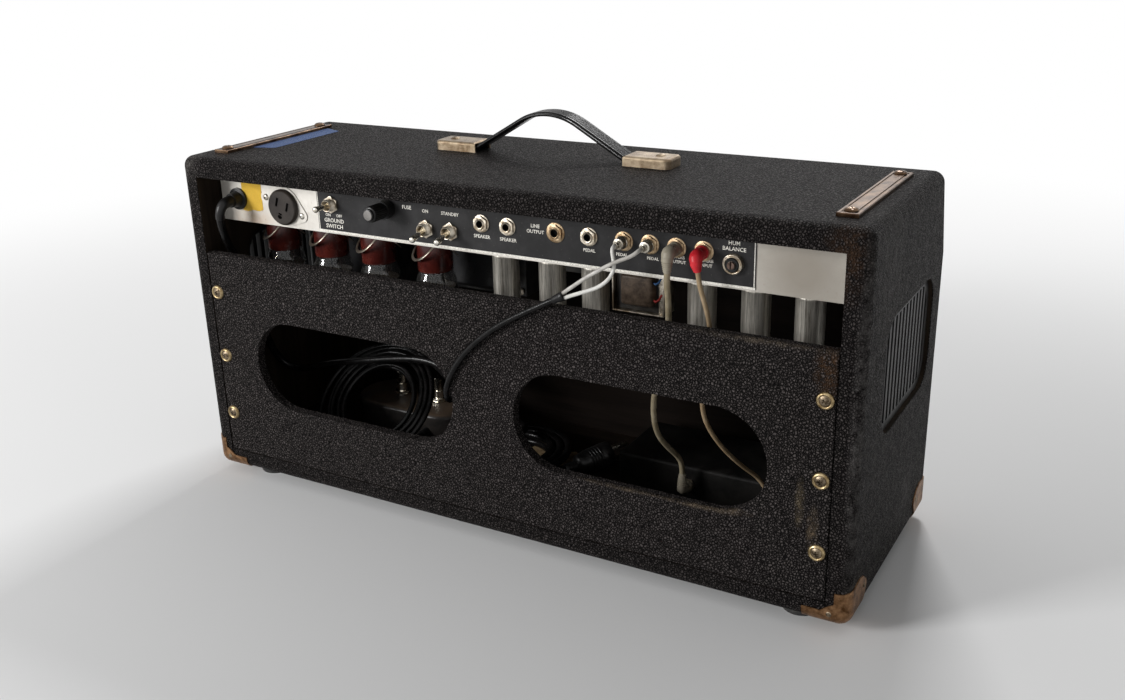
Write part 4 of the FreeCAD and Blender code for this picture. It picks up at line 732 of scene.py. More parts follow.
for seed, (name, shape, places, facing, finish) in enumerate((
        ("cup_washers", cup, panel_screws, BACK, brass),
        ("panel_screws", sunk, panel_screws, BACK, dark_steel),
        ("strap_bolts", oval, [(x, y, top_face + 3) for x in (305.5, -305.5) for y in (80, -54)], UP, tarnish_and_dark_reflection_nickel),
        ("handle_screws", dome, [(x, -19, top_face + 9) for x in (107.5, -107.5)], UP, pitted),
        ("foot_screws", foot_head, [(x, y, 5) for x in (285.5, -285.5) for y in (-86.5, 84.5)], (0, 0, -1), dark_steel),
        ("rear_cap_nails", nail, [(x, back + 1, 20) for x in (318, -318)], BACK, dark_steel),
        ("left_cap_nails", nail, [(half_width, y, 31) for y in (80.5, -82.5)], X, dark_steel),
        ("right_cap_nails", nail, [(-half_width, y, 31) for y in (80.5, -82.5)], (-1, 0, 0), dark_steel)), 1):
    set_out(name, shape, places, facing, finish, seed)
for shape in (cup, sunk, oval, dome, nail, foot_head):
    bpy.data.objects.remove(shape)

# Handle. A moulded vinyl strap with bevelled edges and fine lines along its crown, bent up into an
# arch; its ends lie under two pressed nickel caps that are screwed to the top.
strap_black, n, shader = material("strap_vinyl", Specular_IOR_Level=0.12)
haze = noise(n, 55.0, 7.0)
feed(shader, Base_Color=blend_colour(haze, (0.004, 0.004, 0.004), (0.012, 0.011, 0.011), 0.40, 0.70),
     Roughness=blend_value(haze, 0.20, 0.27))
relief(noise(n, 1100.0, 3.0), shader, 0.00004)


def rounded_line(points, radii, steps):
    """A line through points whose corners are arcs of the given radii."""
    out = [Vector(points[0])]
    for a, b, c, r in zip(points, points[1:], points[2:], radii):
        a, b, c = Vector(a), Vector(b), Vector(c)
        u, v = (a - b).normalized(), (c - b).normalized()
        half = u.angle(v) / 2
        cut = r / math.tan(half)
        centre = b + (u + v).normalized() * (r / math.sin(half))
        first, last = b + u * cut - centre, b + v * cut - centre
        for k in range(steps + 1):
            out.append(centre + first.normalized().slerp(last.normalized(), k / steps) * r)
    return out + [Vector(points[-1])]


seat, reach, flat_end = 334.6, 79, 116
crown = seat + reach * math.tan(math.radians(30))
arch = rounded_line([(flat_end, 0, seat), (reach, 0, seat), (0, 0, crown), (-reach, 0, seat), (-flat_end, 0, seat)],
                    (16, 60, 16), 22)
half_w, half_t = 11.5, 2
section = [(-half_w + a, b) for a, b in ((0, -half_t + 0.9), (0, -0.2), (0.3, 0.3), (1.1, 0.4), (1.5, -0.1), (1.9, 0),
                                         (2.1, half_t - 0.8), (2.8, half_t - 0.3))]
for k in range(-3, 4):
    section += [(k * 2 - 0.4, half_t), (k * 2, half_t - 0.3), (k * 2 + 0.4, half_t)]
section += [(-a, b) for a, b in section[7::-1]] + [(half_w - 1, -half_t), (-half_w + 1, -half_t)]
bm = bmesh.new()
rings = []
for i, p in enumerate(arch):
    t = (arch[min(i + 1, len(arch) - 1)] - arch[max(i - 1, 0)]).normalized()
    up_here = Vector((-t.z, 0, t.x)) * (-1 if t.x < 0 else 1)
    rings.append([bm.verts.new(p + Vector((0, -19 + a, 0)) + up_here * b) for a, b in section])
skin(bm, rings, caps=True)
finished("moulded_strap", bm, [strap_black], "strap_plastic", "handle_strap", angle=50)
coat("handle_caps", pitted)

# Side vents. Black moulded inserts with upright slats, set into rounded openings in the side boards.
coat("side_vents", plastic("vent_plastic", (0.010, 0.010, 0.010), (0.030, 0.029, 0.028), 0.42))

# Tape. A strip of blue masking tape beside one strap on top, and a torn piece of yellow tape on the
# chassis by the mains inlet; both are bare of writing.
for name, tone, corners, out, bands, slot in (
        ("blue_tape", (0.02, 0.07, 0.22),
         [(273.5, 49.6, 331), (296.5, 56, 331), (296.5, -56, 331), (273.5, -46.4, 331)], UP, "Y", "covering"),
        ("yellow_tape", (0.97, 0.60, 0.055),
         [(260, 88.5, 279), (285.5, 88.5, 276.5), (285, 88.5, 311), (260, 88.5, 311)], BACK, "Z", "chassis_zinc")):
    paper, n, shader = material(name, Roughness=0.6)
    crepe = texture(n, "Wave", 700.0, Distortion=3.0, Detail=3.0)
    crepe.bands_direction = bands
    feed(shader, Base_Color=blend_colour(crepe.outputs["Fac"], tuple(0.72 * c for c in tone), tone, 0.2, 0.8))
    relief(crepe.outputs["Fac"], shader, 0.0002)
    a, b, c, d = (Vector(p) + Vector(out) * 0.1 for p in corners)
    bm = bmesh.new()
    lines = []
    for i in range(31):
        ragged = 0.7 * math.sin(i * 2.7) + 0.5 * math.sin(i * 5.9 + 1)
        left, right = a.lerp(b, i / 30), d.lerp(c, i / 30)
        over = (right - left).normalized() * ragged
        lines.append((bm.verts.new(left + over), bm.verts.new(right - over * 0.6)))
    for (p, q), (r, s) in zip(lines, lines[1:]):
        bm.faces.new((p, q, s, r)).normal_update()
    if bm.faces[:][0].normal.dot(Vector(out)) < 0:
        bmesh.ops.reverse_faces(bm, faces=bm.faces)
    bmesh.ops.solidify(bm, geom=bm.faces[:], thickness=-0.12)
    finished(name, bm, [paper], slot)

# Chassis. Folded zinc-plated steel, dull and stained, hung under the top board by the strap bolts; a
# thin black plate with white rules and words trims its rear wall, another one its sloping front.
zinc, n, shader = material("dull_zinc", Metallic=0.35)
spangle = texture(n, "Voronoi", 70.0).outputs["Distance"]
cloud, specks = noise(n, 26.0, 9.0, 0.7), noise(n, 210.0, 5.0)
bright = blend_colour(cloud, (0.50, 0.47, 0.42), (0.68, 0.65, 0.60), 0.35, 0.65)
bright = mixed(blend_value(specks, 0.0, 0.45, 0.66, 0.76), bright, (0.26, 0.19, 0.12))
rust = mask_of(n, (0.2750, 0.0885, 0.2690), 0.004, 0.016, (0.5, 1, 1))
smear = calculate("MULTIPLY", rust, blend_value(cloud, 0.0, 0.8, 0.35, 0.6))
bright = mixed(smear, bright, (0.34, 0.20, 0.09))
# The right end of the rear wall is painted darker and browner: painted shade, where the light falls off towards that
# end.
bright = mixed(mask_of(n, (-0.2750, 0.0885, 0.2850), 0.010, 0.080), bright, (0.285, 0.255, 0.215))
feed(shader, Base_Color=bright, Roughness=blend_value(spangle, 0.40, 0.58))
relief(specks, shader, 0.0001)
coat("chassis", zinc)


def enamel(name, tone):
    """Black satin enamel with fine scratches and specks of dust."""
    m, n, shader = material(name, Specular_IOR_Level=0.18)
    colour = blend_colour(noise(n, 40.0, 9.0, 0.7), tone, tuple(2.2 * c for c in tone), 0.42, 0.75)
    speck = texture(n, "Voronoi", 260.0).outputs["Distance"]
    colour = mixed(blend_value(speck, 0.8, 0.0, 0.0, 0.10), colour, (0.16, 0.15, 0.13))
    scratch = noise(n, 500.0, 4.0)
    feed(shader, Base_Color=colour, Roughness=blend_value(scratch, 0.28, 0.50))
    relief(scratch, shader, 0.00008)
    return m


coat("rear_plate", enamel("rear_enamel", (0.016, 0.0155, 0.016)))
coat("front_plate", enamel("front_enamel", (0.014, 0.014, 0.016)))
white_ink = mottled("white_ink", (0.55, 0.52, 0.46), (0.86, 0.83, 0.76), (0.34, 0.56), (900.0, 5.0), Roughness=0.5)


def stand(at, out, up=UP):
    """The matrix that stands a drawing, made on X and Y with +Z towards the reader, at a place."""
    out, up = Vector(out).normalized(), Vector(up).normalized()
    return Matrix.Translation(at) @ Matrix((up.cross(out), up, out)).transposed().to_4x4()


def words(bm, entries, place):
    """Adds words to a mesh: entries are (text, across, up, height) on the drawing."""
    for text, u, v, size in entries:
        font = bpy.data.curves.new("word", "FONT")
        font.body, font.size, font.align_x, font.align_y = text, size / 1000 * 1.38, "CENTER", "CENTER"
        font.resolution_u = 2
        font.extrude = 0.00003
        font.offset = 0.018 * size / 1000
        obj = bpy.data.objects.new("word", font)
        scene.collection.objects.link(obj)
        flat = mesh_of(obj)
        flat.transform(place @ Matrix.Translation((u, v, 0.04)) @ Matrix.Diagonal((1000, 1000, 1000, 1)))
        bm.from_mesh(flat)
        bpy.data.objects.remove(obj)
        bpy.data.meshes.remove(flat)


def block(place, u0, u1, v0, v1, w0, w1):
    """The matrix that stretches a unit cube to a bar on the drawing."""
    centre = Matrix.Translation(((u0 + u1) / 2, (v0 + v1) / 2, (w0 + w1) / 2))
    return place @ centre @ Matrix.Diagonal((u1 - u0, v1 - v0, w1 - w0, 1))


def bar(bm, place, *sides, finish=0):
    """Adds a plain bar to a mesh, given by its six sides on the drawing."""
    corners = bmesh.ops.create_cube(bm, size=1.0, matrix=block(place, *sides))["verts"]
    for f in {f for v in corners for f in v.link_faces}:
        f.material_index = finish


def border(bm, place, u0, u1, v0, v1, width=0.7):
    """Adds a thin printed frame to a mesh."""
    for sides in ((u0, u1, v0, v0 + width), (u0, u1, v1 - width, v1), (u0, u0 + width, v0 + width, v1 - width),
                  (u1 - width, u1, v0 + width, v1 - width)):
        bar(bm, place, *sides, 0, 0.05)


rear_sheet = stand((0, rear, socket_row), BACK)
bm = bmesh.new()
border(bm, rear_sheet, -190.4, 237.4, -25.3, 13.6)
bar(bm, rear_sheet, -191, 238, -25.8, -24, -0.7, 0.1)
words(bm, [("ON", -179, -9.8, 2.8), ("OFF", -166, -9.8, 2.8), ("GROUND", -172.5, -14.8, 3.8),
           ("SWITCH", -172.5, -20.2, 3.8), ("FUSE", -88, 6.2, 3.4), ("ON", -68, 4.8, 3.0),
           ("STANDBY", -41.9, 4.8, 3.0), ("SPEAKER", -9.5, -11.5, 3.1), ("SPEAKER", 16.9, -11.5, 3.1),
           ("LINE", 44, 3.4, 3.1), ("OUTPUT", 44, -1.4, 3.1), ("PEDAL", 94.8, -11.5, 2.8),
           ("PEDAL", 124.5, -11.5, 2.6), ("PEDAL", 152, -11.5, 2.6), ("OUTPUT", 173.5, -11.5, 2.6),
           ("REVERB", 173.5, -7.5, 2.6), ("REVERB", 197.5, -7.5, 2.6), ("INPUT", 197.5, -11.5, 2.6),
           ("HUM", 220.3, 9, 3.2), ("BALANCE", 220.3, 4.4, 3.2)], rear_sheet)
finished("rear_words", bm, [white_ink], "rear_black")

slope = math.atan2(22.0, 73.0)
rise, outwards = Vector((0, math.sin(slope), math.cos(slope))), Vector((0, -math.cos(slope), math.sin(slope)))


def front_at(x):
    """The matrix of a drawing on the sloping front, x to the right of the box's middle."""
    return stand((x, -100.938, 285.084), outwards, rise)


front_sheet = front_at(0)
knob_places = {"normal_volume": -208, "normal_treble": -172, "normal_middle": -136, "normal_bass": -100,
               "vibrato_volume": 16, "vibrato_treble": 50, "vibrato_middle": 84, "vibrato_bass": 118,
               "reverb": 152, "speed": 186, "intensity": 220, "master": 254}
input_places, slide_places = (-288, -262, -64, -38), (-236, -12)
bm = bmesh.new()
border(bm, front_sheet, -309.5, 309.5, -21.5, 26)
labels = [(key.split("_")[-1].upper(), x, -17, 2.6) for key, x in knob_places.items()]
labels += [("BRIGHT", x, -10.5, 2.2) for x in slide_places] + [("NORMAL", -190, 21.5, 3.0), ("VIBRATO", 70, 21.5, 3.0)]
labels += [(text, x, -12.5, 2.6) for text, x in zip("1212", input_places)]
words(bm, labels, front_sheet)
for x0, x1 in ((-300, -205), (-175, -88), (-76, 53), (87, 272)):
    bar(bm, front_sheet, x0, x1, 21.1, 21.8, 0, 0.05)
finished("front_words", bm, [white_ink], "front_black")

# Jacks and sockets. Quarter-inch jacks with threaded bushings, washers and chamfered nuts; phono
# sockets with their centre hole; all nickel plated, gone dull and brownish at the rear.
dull_nickel = metal("dull_nickel", (0.30, 0.24, 0.17), (0.68, 0.62, 0.52), 0.30, 120.0, 1800.0, 0.0002)
browned = metal("browned_nickel", (0.20, 0.125, 0.065), (0.52, 0.40, 0.26), 0.34, 170.0, 1800.0, 0.0002)
black_hole = plastic("socket_black", (0.004, 0.004, 0.004), (0.012, 0.012, 0.012), 0.5)


def nut(bm, place, flats, height, base, bore, finish=0, sides=48):
    """Adds a hexagon nut with chamfered corners and a bore; base is its height over the panel."""
    rings = [[], [], []]
    for i in range(sides):
        a = math.tau * i / sides
        reach = flats / 2 / math.cos((a + math.pi / 6) % (math.pi / 3) - math.pi / 6)
        bevel = max(0.0, reach - flats / 2 * 1.01) * 0.55
        chamfered = min(reach, flats / 2 * 1.01) - 0.2
        for ring, r, h in zip(rings, (reach, reach, chamfered), (0, height - bevel, height)):
            ring.append((r * math.cos(a), r * math.sin(a), base + h))
    rings += [[(x, y, h) for x, y in circle(bore, sides)] for h in (base + height, base)]
    rings = [[bm.verts.new(place @ Vector(p)) for p in ring] for ring in rings]
    skin(bm, rings + rings[:1], finish)


def threaded(r, start, end, pitch=0.7, depth=0.3):
    """Profile of a thread between two heights, from its outer end in."""
    out, h = [], start
    while h + pitch < end:
        out += [(r - depth, h), (r, h + pitch * 0.35), (r, h + pitch * 0.55), (r - depth, h + pitch * 0.9)]
        h += pitch
    return out[::-1]


def rear_at(x, z=socket_row):
    """The matrix of a drawing on the rear plate."""
    return stand((x, rear, z), BACK)


bm = bmesh.new()
for place in [front_at(x) for x in input_places] + [rear_at(x) for x in (9.5, -16.9, -94.8)]:
    at, out = place.translation, place.to_3x3() @ Vector(UP)
    turn(bm, [(3.25, 3.6), (4.1, 4), *threaded(4.75, 3, 4), (4.75, 0)], at, out, 0, 40)
    turn(bm, [(0, -20), (3.25, -20), (3.25, 3.6)], at, out, 1)
    turn(bm, [(4.7, 0.6), (7.2, 0.6), (7.7, 0.3), (7.7, 0)], at, out, 0, 40)
    nut(bm, place, 12.7, 2.4, 0.6, 4.6)
    bar(bm, place, -8.5, 8.5, -8.5, 8.5, -28.5, -3, finish=1)
can = [(0, -8.3), (6, -8.3), (6, -2.4), (0, -2.4)]
for x in (-126.5, -149.5, -172.5, -195.5):
    place = rear_at(x)
    at = place.translation
    turn(bm, [(1.6, 6.2), (3, 6.4), (3.3, 7.6), (3.8, 8), (4.2, 7.6), (4.2, 0)], at, BACK, 2)
    turn(bm, [(0, -2), (1.6, -2), (1.6, 6.2)], at, BACK, 1, 16)
    turn(bm, [(4, 0.7), (7.6, 0.7), (8.1, 0.4), (8.1, 0)], at, BACK, 2, 40)
    nut(bm, place, 12.7, 1.8, 0.6, 4, 2)
    turn(bm, can, at, BACK, 1, 24)
line_jack = rear_at(-63.5)
at = line_jack.translation
turn(bm, [(3.4, 3), (4.1, 3.4), *threaded(5, 2.4, 3.4), (5, 0)], at, BACK, 2, 40)
turn(bm, [(0, -8), (3.4, -8), (3.4, 3)], at, BACK, 1)
turn(bm, [(5, 0.8), (8, 0.8), (8.6, 0.4), (8.6, 0)], at, BACK, 2, 48)
nut(bm, line_jack, 13, 2, 0.6, 4.9, 2)
turn(bm, can, at, BACK, 1, 24)
finished("jacks_and_sockets", bm, [dull_nickel, black_hole, browned], "jack_nickel", "jacks")

# Switches. Threaded bushings with hexagon nuts hold the ground, power and standby switches; each has a
# tapered bat. The two bright switches at the front are slides in a slotted case.
bm = bmesh.new()
toggles = {"ground_switch": (174, 293.5, 0), "power_switch": (68, 282, 15), "standby_switch": (41.9, 282.5, 15)}
for x, z, fall in toggles.values():
    place = rear_at(x, z)
    at = place.translation
    turn(bm, [(3.4, 3), (4.7, 7.9), (5.2, 8), *threaded(5.9, 2.2, 7.8), (5.9, 0)], at, BACK, 0, 40)
    turn(bm, [(3.4, 3), (3.4, -2), (0, -2)], at, BACK, 1, 24)
    nut(bm, place, 14.3, 2, 0, 5.7)
    turn(bm, [(5.8, 2.6), (7, 2.6), (7.1, 2.2), (7.1, 2)], at, BACK, 0, 40)
    bar(bm, place, -6.5, 6.5, -10, 10, -18, -2.4, finish=1)
for place in (front_at(x) for x in slide_places):
    for sides in ((-6, -2.7, -11, 11), (2.7, 6, -11, 11), (-2.7, 2.7, -11, -5.4), (-2.7, 2.7, 5.4, 11)):
        bar(bm, place, *sides, -11, -2.8)
    bar(bm, place, -6, 6, -11, 11, -11.5, -7, finish=1)
finished("switch_bushings", bm, [dull_nickel, black_hole], "switch_metal", "switch_bodies")
bright_nickel = metal("bright_nickel", (0.50, 0.46, 0.38), (0.78, 0.75, 0.68), 0.16, 200.0, pits=0.00005)
bat = [(0, -2.6), (1.8, -2.3), (2.9, -1.2), (3.1, 0), (2.8, 1.4), (2, 2.7), (1.9, 3.8), (2.1, 7), (2.6, 15),
       (2.9, 17.6), (2.8, 18.7), (2.1, 19.6), (1, 20.1), (0, 20.2)]
for name, (x, z, fall) in toggles.items():
    bm = bmesh.new()
    lean_out = Vector((0, math.cos(math.radians(fall)), -math.sin(math.radians(fall))))
    turn(bm, bat, (x, rear + 4, z), lean_out, 0, 40)
    finished(name + "_lever", bm, [bright_nickel], "switch_metal", name + "_bat", body=name + "_bat")
for node in ("normal_bright_slider", "vibrato_bright_slider", "fuse_holder", "strain_relief"):
    coat(node, black_plastic)
coat("potentiometers", dull_nickel)
coat("hum_balance", metal("dark_shaft", (0.030, 0.018, 0.014), (0.16, 0.11, 0.09), 0.35, 150.0))

# Mains outlet. A round phenolic face with two blade slots and an earth hole, turned a little in its
# plated flange, which two screws hold to the chassis.
phenolic = plastic("dark_phenolic", (0.014, 0.010, 0.008), (0.040, 0.032, 0.026), 0.30)
tilt = math.atan2(14.2, 42.5)
outlet = stand((232, 88.5, 285.5), BACK, (-math.sin(tilt), 0, math.cos(tilt)))
earth = [(2.8 * math.cos(a), -8.7 + 2.8 * math.sin(a)) for a in (math.pi * (k / 12 - 1) for k in range(13))]
rims = [circle(15.4, 96)]
rims += [[(u + a, 3.2 + b) for a, b in ((-1.3, -4.3), (1.3, -4.3), (1.3, 4.3), (-1.3, 4.3))] for u in (-6.35, 6.35)]
rims += [earth + [(-2.8, -6.8), (-1.4, -5.8), (1.4, -5.8), (2.8, -6.8)]]
small = Matrix.Diagonal((0.001, 0.001, 0.001, 1)) @ outlet       # in metres, or the fill leaves gaps
bm = bmesh.new()
rim_edges = []
for k, points in enumerate(rims):
    top_ring = [bm.verts.new(small @ Vector((u, v, 5.2))) for u, v in points]
    rim_edges += [bm.edges.new(pair) for pair in zip(top_ring, top_ring[1:] + top_ring[:1])]
    if k:
        deep = [bm.verts.new(small @ Vector((u, v, -3))) for u, v in points]
        skin(bm, [top_ring, deep], 1)
        bm.faces.new(deep).material_index = 1
bmesh.ops.triangle_fill(bm, edges=rim_edges, use_beauty=True)
bm.transform(Matrix.Diagonal((1000, 1000, 1000, 1)))
turn(bm, [(15.4, 5.2), (16.6, 4.5), (17.2, 3.4), (17.2, -17), (0, -17)], outlet.translation, BACK, 0, 96)
bmesh.ops.remove_doubles(bm, verts=bm.verts, dist=0.001)
finished("outlet_body", bm, [phenolic, black_hole], "outlet_black", "mains_outlet")
bm = bmesh.new()
rim = [bm.verts.new(outlet @ Vector((u + x, y, h)))
       for h in (0, 1) for u, r in ((0, 19.2), (-23, 6.2), (21.8, 6.2)) for x, y in circle(r, 64)]
bmesh.ops.convex_hull(bm, input=rim)
bmesh.ops.delete(bm, geom=[v for v in bm.verts if not v.link_faces], context="VERTS")
for u in (-23, 21.8):
    screw = outlet @ Matrix.Translation((u, 0, 1))
    turn(bm, [(0, 1.7), (1.2, 1.6), (2.4, 1.1), (3.1, 0.3), (3.2, 0)], screw.translation, BACK, 1)
    # Each screw's cross recess is two black bars laid on its head: painted shade for the recess.
    for a in (0.4, 0.4 + math.pi / 2):
        bar(bm, screw @ Matrix.Rotation(a, 4, "Z"), -1.5, 1.5, -0.3, 0.3, 1, 1.72, finish=2)
finished("outlet_flange", bm, [zinc, nickel, black_hole], "outlet_black", angle=30)

# Fuse cap and pilot lamp. The cap is fluted round its grip, and its end is pale grey as a painted highlight;
# a red faceted jewel stands in a nickel ring at the front.
bm = bmesh.new()
ridges = 24
at = Vector((109.7, rear, 296))
turn(bm, [(0, 28), (4.4, 28)], at, BACK, 1, 48)
turn(bm, [(4.4, 28), (5.2, 27.7), (5.6, 27), (5.6, 25.6), (6.6, 25.2)], at, BACK, 0, 48)
turn(bm, [(7.2, 10), (7.3, 9.4), (6.4, 9.3), (6, 9.3), (6, -15), (0, -15)], at, BACK, 0, 48)
rings = []
for h, edge in ((25.2, 0.6), (24.6, None), (10.6, None), (10, 0.1)):
    ring = []
    for a in (math.tau * i / (ridges * 6) for i in range(ridges * 6)):
        r = 7.3 - (0.45 * (0.5 - 0.5 * math.cos(a * ridges)) if edge is None else edge)
        ring.append(bm.verts.new(at + Vector((r * math.cos(a), h, r * math.sin(a)))))
    rings.append(ring)
skin(bm, rings)
bmesh.ops.remove_doubles(bm, verts=bm.verts, dist=0.001)
# The cap's black end is painted pale grey: a painted highlight.
fuse_end_painted_highlight = plastic("fuse_end_painted_highlight", (0.10, 0.095, 0.09), (0.34, 0.32, 0.30), 0.5)
finished("fuse_knob", bm, [black_plastic, fuse_end_painted_highlight], "fuse_black", "fuse_cap", body="fuse_cap")
jewel_red = mottled("jewel_red", (0.45, 0.005, 0.005), (0.70, 0.02, 0.015), (0.4, 0.6), (300.0,),
                    Roughness=0.08, Transmission_Weight=0.55, IOR=1.5)
seat = front_at(290)
bm = bmesh.new()
turn(bm, [(0, 1), (7, 1), (7.4, 3), (8, 3.3), (9.2, 3), (9.5, 2), (9.5, 0)], seat.translation, outwards, 0, 48)
turn(bm, [(0, -20), (7, -20), (7, 0)], seat.translation, outwards, 0, 24)
facets = ((7.6, 3.2), (7, 6), (5, 8.4), (2.4, 9.8))
for k, ((r0, h0), (r1, h1)) in enumerate(zip(facets, facets[1:])):
    low_ring, high_ring = circle(r0, 12, k / 2), circle(r1, 12, (k + 1) / 2)
    for i in range(12):
        p, q, s, t = (bm.verts.new(seat @ Vector((*ring[j % 12], h))) for ring, j, h in
                      ((low_ring, i, h0), (low_ring, i + 1, h0), (high_ring, i, h1), (high_ring, i + 1, h1)))
        bm.faces.new((p, q, s)).material_index = 1
        bm.faces.new((q, t, s)).material_index = 1
bm.faces.new([bm.verts.new(seat @ Vector((x, y, 9.8))) for x, y in circle(2.4, 12, 1.5)]).material_index = 1
bmesh.ops.remove_doubles(bm, verts=bm.verts, dist=0.02)
finished("lamp_and_jewel", bm, [dull_nickel, jewel_red], "jewel_red", "pilot_lamp", angle=12)

# Power tubes. Dark red moulded bases with a glass envelope that swells below them; inside it are mica
# discs, a blackened plate box on rods and a silvery flash at the tip.
row, floor_z = 46.5, 265.7       # line of the tubes, underside of the chassis
glass = mottled("tube_glass", (0.02, 0.02, 0.02), (0.09, 0.085, 0.08), (0.4, 0.7), (60.0,), Roughness=0.04,
                Specular_IOR_Level=1.0, Alpha=0.28)
base_red = mottled("base_red", (0.045, 0.007, 0.006), (0.098, 0.015, 0.010), (0.35, 0.68), (90.0, 6.0), (0.18, 0.34))
plate_grey = metal("plate_grey", (0.030, 0.028, 0.027), (0.11, 0.10, 0.095), 0.42)
mica = plastic("mica", (0.16, 0.13, 0.10), (0.30, 0.26, 0.21), 0.25)
getter = metal("getter_silver", (0.10, 0.09, 0.09), (0.60, 0.60, 0.62), 0.14, 40.0)


def envelope(bm, at, outer, wall, finish, sides=56):
    """A glass bulb: outer is its profile from neck to tip; the same line runs back a wall inside it."""
    inner = []
    for i, (r, h) in enumerate(outer):
        a, b = outer[max(i - 1, 0)], outer[min(i + 1, len(outer) - 1)]
        t = Vector((b[0] - a[0], b[1] - a[1])).normalized()
        inner.append((max(0.0, r + t.y * wall), h - t.x * wall))
    start = len(bm.verts)
    turn(bm, outer + inner[::-1] + [outer[0]], at, UP, finish, sides)
    bm.verts.ensure_lookup_table()
    bmesh.ops.remove_doubles(bm, verts=bm.verts[start:], dist=0.0001)


def tip_arc(r, dome, tip, steps=9):
    """Profile of a rounded glass tip from the straight wall in to the axis."""
    angles = (math.pi / 2 * k / steps for k in range(steps + 1))
    return [(r * math.cos(a), dome - (dome - tip) * math.sin(a)) for a in angles]


power_places, preamp_places = (277, 216, 158, 92), (14, -34, -77, -176.5, -223.5, -268.5)
bm, inside = bmesh.new(), bmesh.new()
for k, x in enumerate(power_places):
    at = Vector((x, row, 0))
    turn(bm, [(0, 261.4), (15.5, 261.4), (16.3, 261), (16.5, 260), (16.5, 231.8), (16.3, 230.8), (15.9, 230.4),
              (15.6, 231.2), (0, 231.2)], at, UP, 0, 72)
    bulb = [(15.6, 231), (15.9, 229.6), (16.6, 227.6), (17.6, 225.4), (18.6, 223), (19.3, 220.4), (19.5, 217)]
    envelope(bm, at, bulb + tip_arc(19.5, 172, 156.2), 0.6, 1)
    for h in (215, 178.5):
        turn(inside, [(0, h), (17, h), (17.6, h - 0.2), (17.6, h - 0.6), (17, h - 0.8), (0, h - 0.8)], at, UP, 1, 48)
    place = Matrix.Translation(at) @ Matrix.Rotation(math.radians(25 + 37 * k), 4, "Z")
    bar(inside, place, -12.5, 12.5, -6.2, 6.2, 179, 213.5)
    for u in (-15, 15):
        bar(inside, place, u - 2.5, u + 2.5, -0.6, 0.6, 178.5, 214.5)
    for u, v in ((-8.5, 0), (8.5, 0), (0, -7.2), (0, 7.2), (-4.5, 7.2), (4.5, -7.2)):
        turn(inside, [(0, 175.5), (0.6, 175.5), (0.6, 229), (0, 229)], at + Vector((u, v, 0)), UP, 2, 10)
    turn(inside, [(4, 170), (4.4, 170.4), (4, 170.8), (3.6, 170.4)], at, UP, 2, 24)
finished("power_tubes", bm, [base_red, glass], "glass", "tubes")
finished("tube_insides", inside, [plate_grey, mica, getter], "glass")

# Preamp tubes. Small bulbs inside bayonet shields: drawn aluminium cans, dull and stained, with a
# rolled lip and a shallow bead, set on the socket's ring.
shield_metal, n, shader = material("shield_aluminium", Metallic=0.80)
draw = noise(n, 30.0, 8.0, 0.75, at=coordinates(n, (14.0, 14.0, 0.6)))
feed(shader, Base_Color=blend_colour(draw, (0.15, 0.13, 0.105), (0.80, 0.76, 0.68), 0.34, 0.60),
     Roughness=blend_value(draw, 0.50, 0.34))
relief(draw, shader, 0.00005)
bm, small = bmesh.new(), bmesh.new()
for x in preamp_places:
    at = Vector((x, row, 0))
    turn(bm, [(11.2, 264), (12, 264), (12, 256), (12.3, 255.2), (12.3, 253.6), (12, 252.8), (12, 218), (11.85, 217.2),
              (11.85, 216.4), (12, 215.6), (11.9, 212.6), (11.2, 210.8), (9.8, 210), (6.8, 210), (6.5, 210.3),
              (6.6, 210.7), (9.4, 210.8), (10.8, 211.8), (11.2, 213.6), (11.2, 264)], at, UP, 0, 64)
    envelope(small, at, [(9.4, 262.2), (9.4, 261), (10.3, 259.5)] + tip_arc(10.4, 220, 212.2, 6), 0.7, 0, 32)
    bar(small, Matrix.Translation(at), -5.2, 5.2, -2.8, 2.8, 224, 252, finish=1)
finished("bayonet_shields", bm, [shield_metal], "shield_aluminium", "tube_shields")
finished("preamp_tubes", small, [glass, plate_grey], "glass")

# Sockets. Dark moulded sockets riveted into the chassis floor; each power tube is held by two sprung
# steel loops that hinge on a ring round its base, each shielded tube by a drawn ring.
spring_steel = metal("spring_steel", (0.34, 0.28, 0.21), (0.66, 0.60, 0.51), 0.34, 140.0)
legs = [10.8 * k / 4 for k in range(4)]
track = [(leg, 1.0, 0.0) for leg in legs]
track += [(10.8, math.cos(a), math.sin(a)) for a in (math.pi * k / 28 for k in range(29))]
track += [(leg, -1.0, 0.0) for leg in legs[::-1]]
band = [(17.1, -0.3), (17.3, -0.5), (19.7, -0.5), (19.9, -0.3), (19.9, 0.3), (19.7, 0.5), (17.3, 0.5), (17.1, 0.3)]
bm = bmesh.new()
for x in power_places:
    at = Vector((x, row, 0))
    turn(bm, [(0, 261.4), (14.3, 261.4), (14.5, 261.8), (14.5, 264.3), (18, 264.3), (18, 265.7), (14.5, 265.7),
              (14.5, 271.4), (0, 271.4)], at, UP, 0, 48)
    turn(bm, [(16.9, 263), (20.3, 263), (20.4, 263.4), (20.3, 264.3), (16.9, 264.3), (16.8, 263.6), (16.9, 263)],
         at, UP, 1, 56)
    for heading in (52, 232):
        hinge = Matrix.Translation((x, row, 263.7)) @ Matrix.Rotation(math.radians(heading), 4, "Z")
        swing = hinge @ Matrix.Rotation(math.radians(46), 4, "Y")
        skin(bm, [[bm.verts.new(swing @ Vector((leg + u * r, v * r, w))) for r, w in band] for leg, v, u in track],
             1, caps=True)
        for side in (18.4, -18.4):
            bar(bm, hinge, -1.6, 1.6, side - 1.4, side + 1.4, -1, 0.8, finish=1)
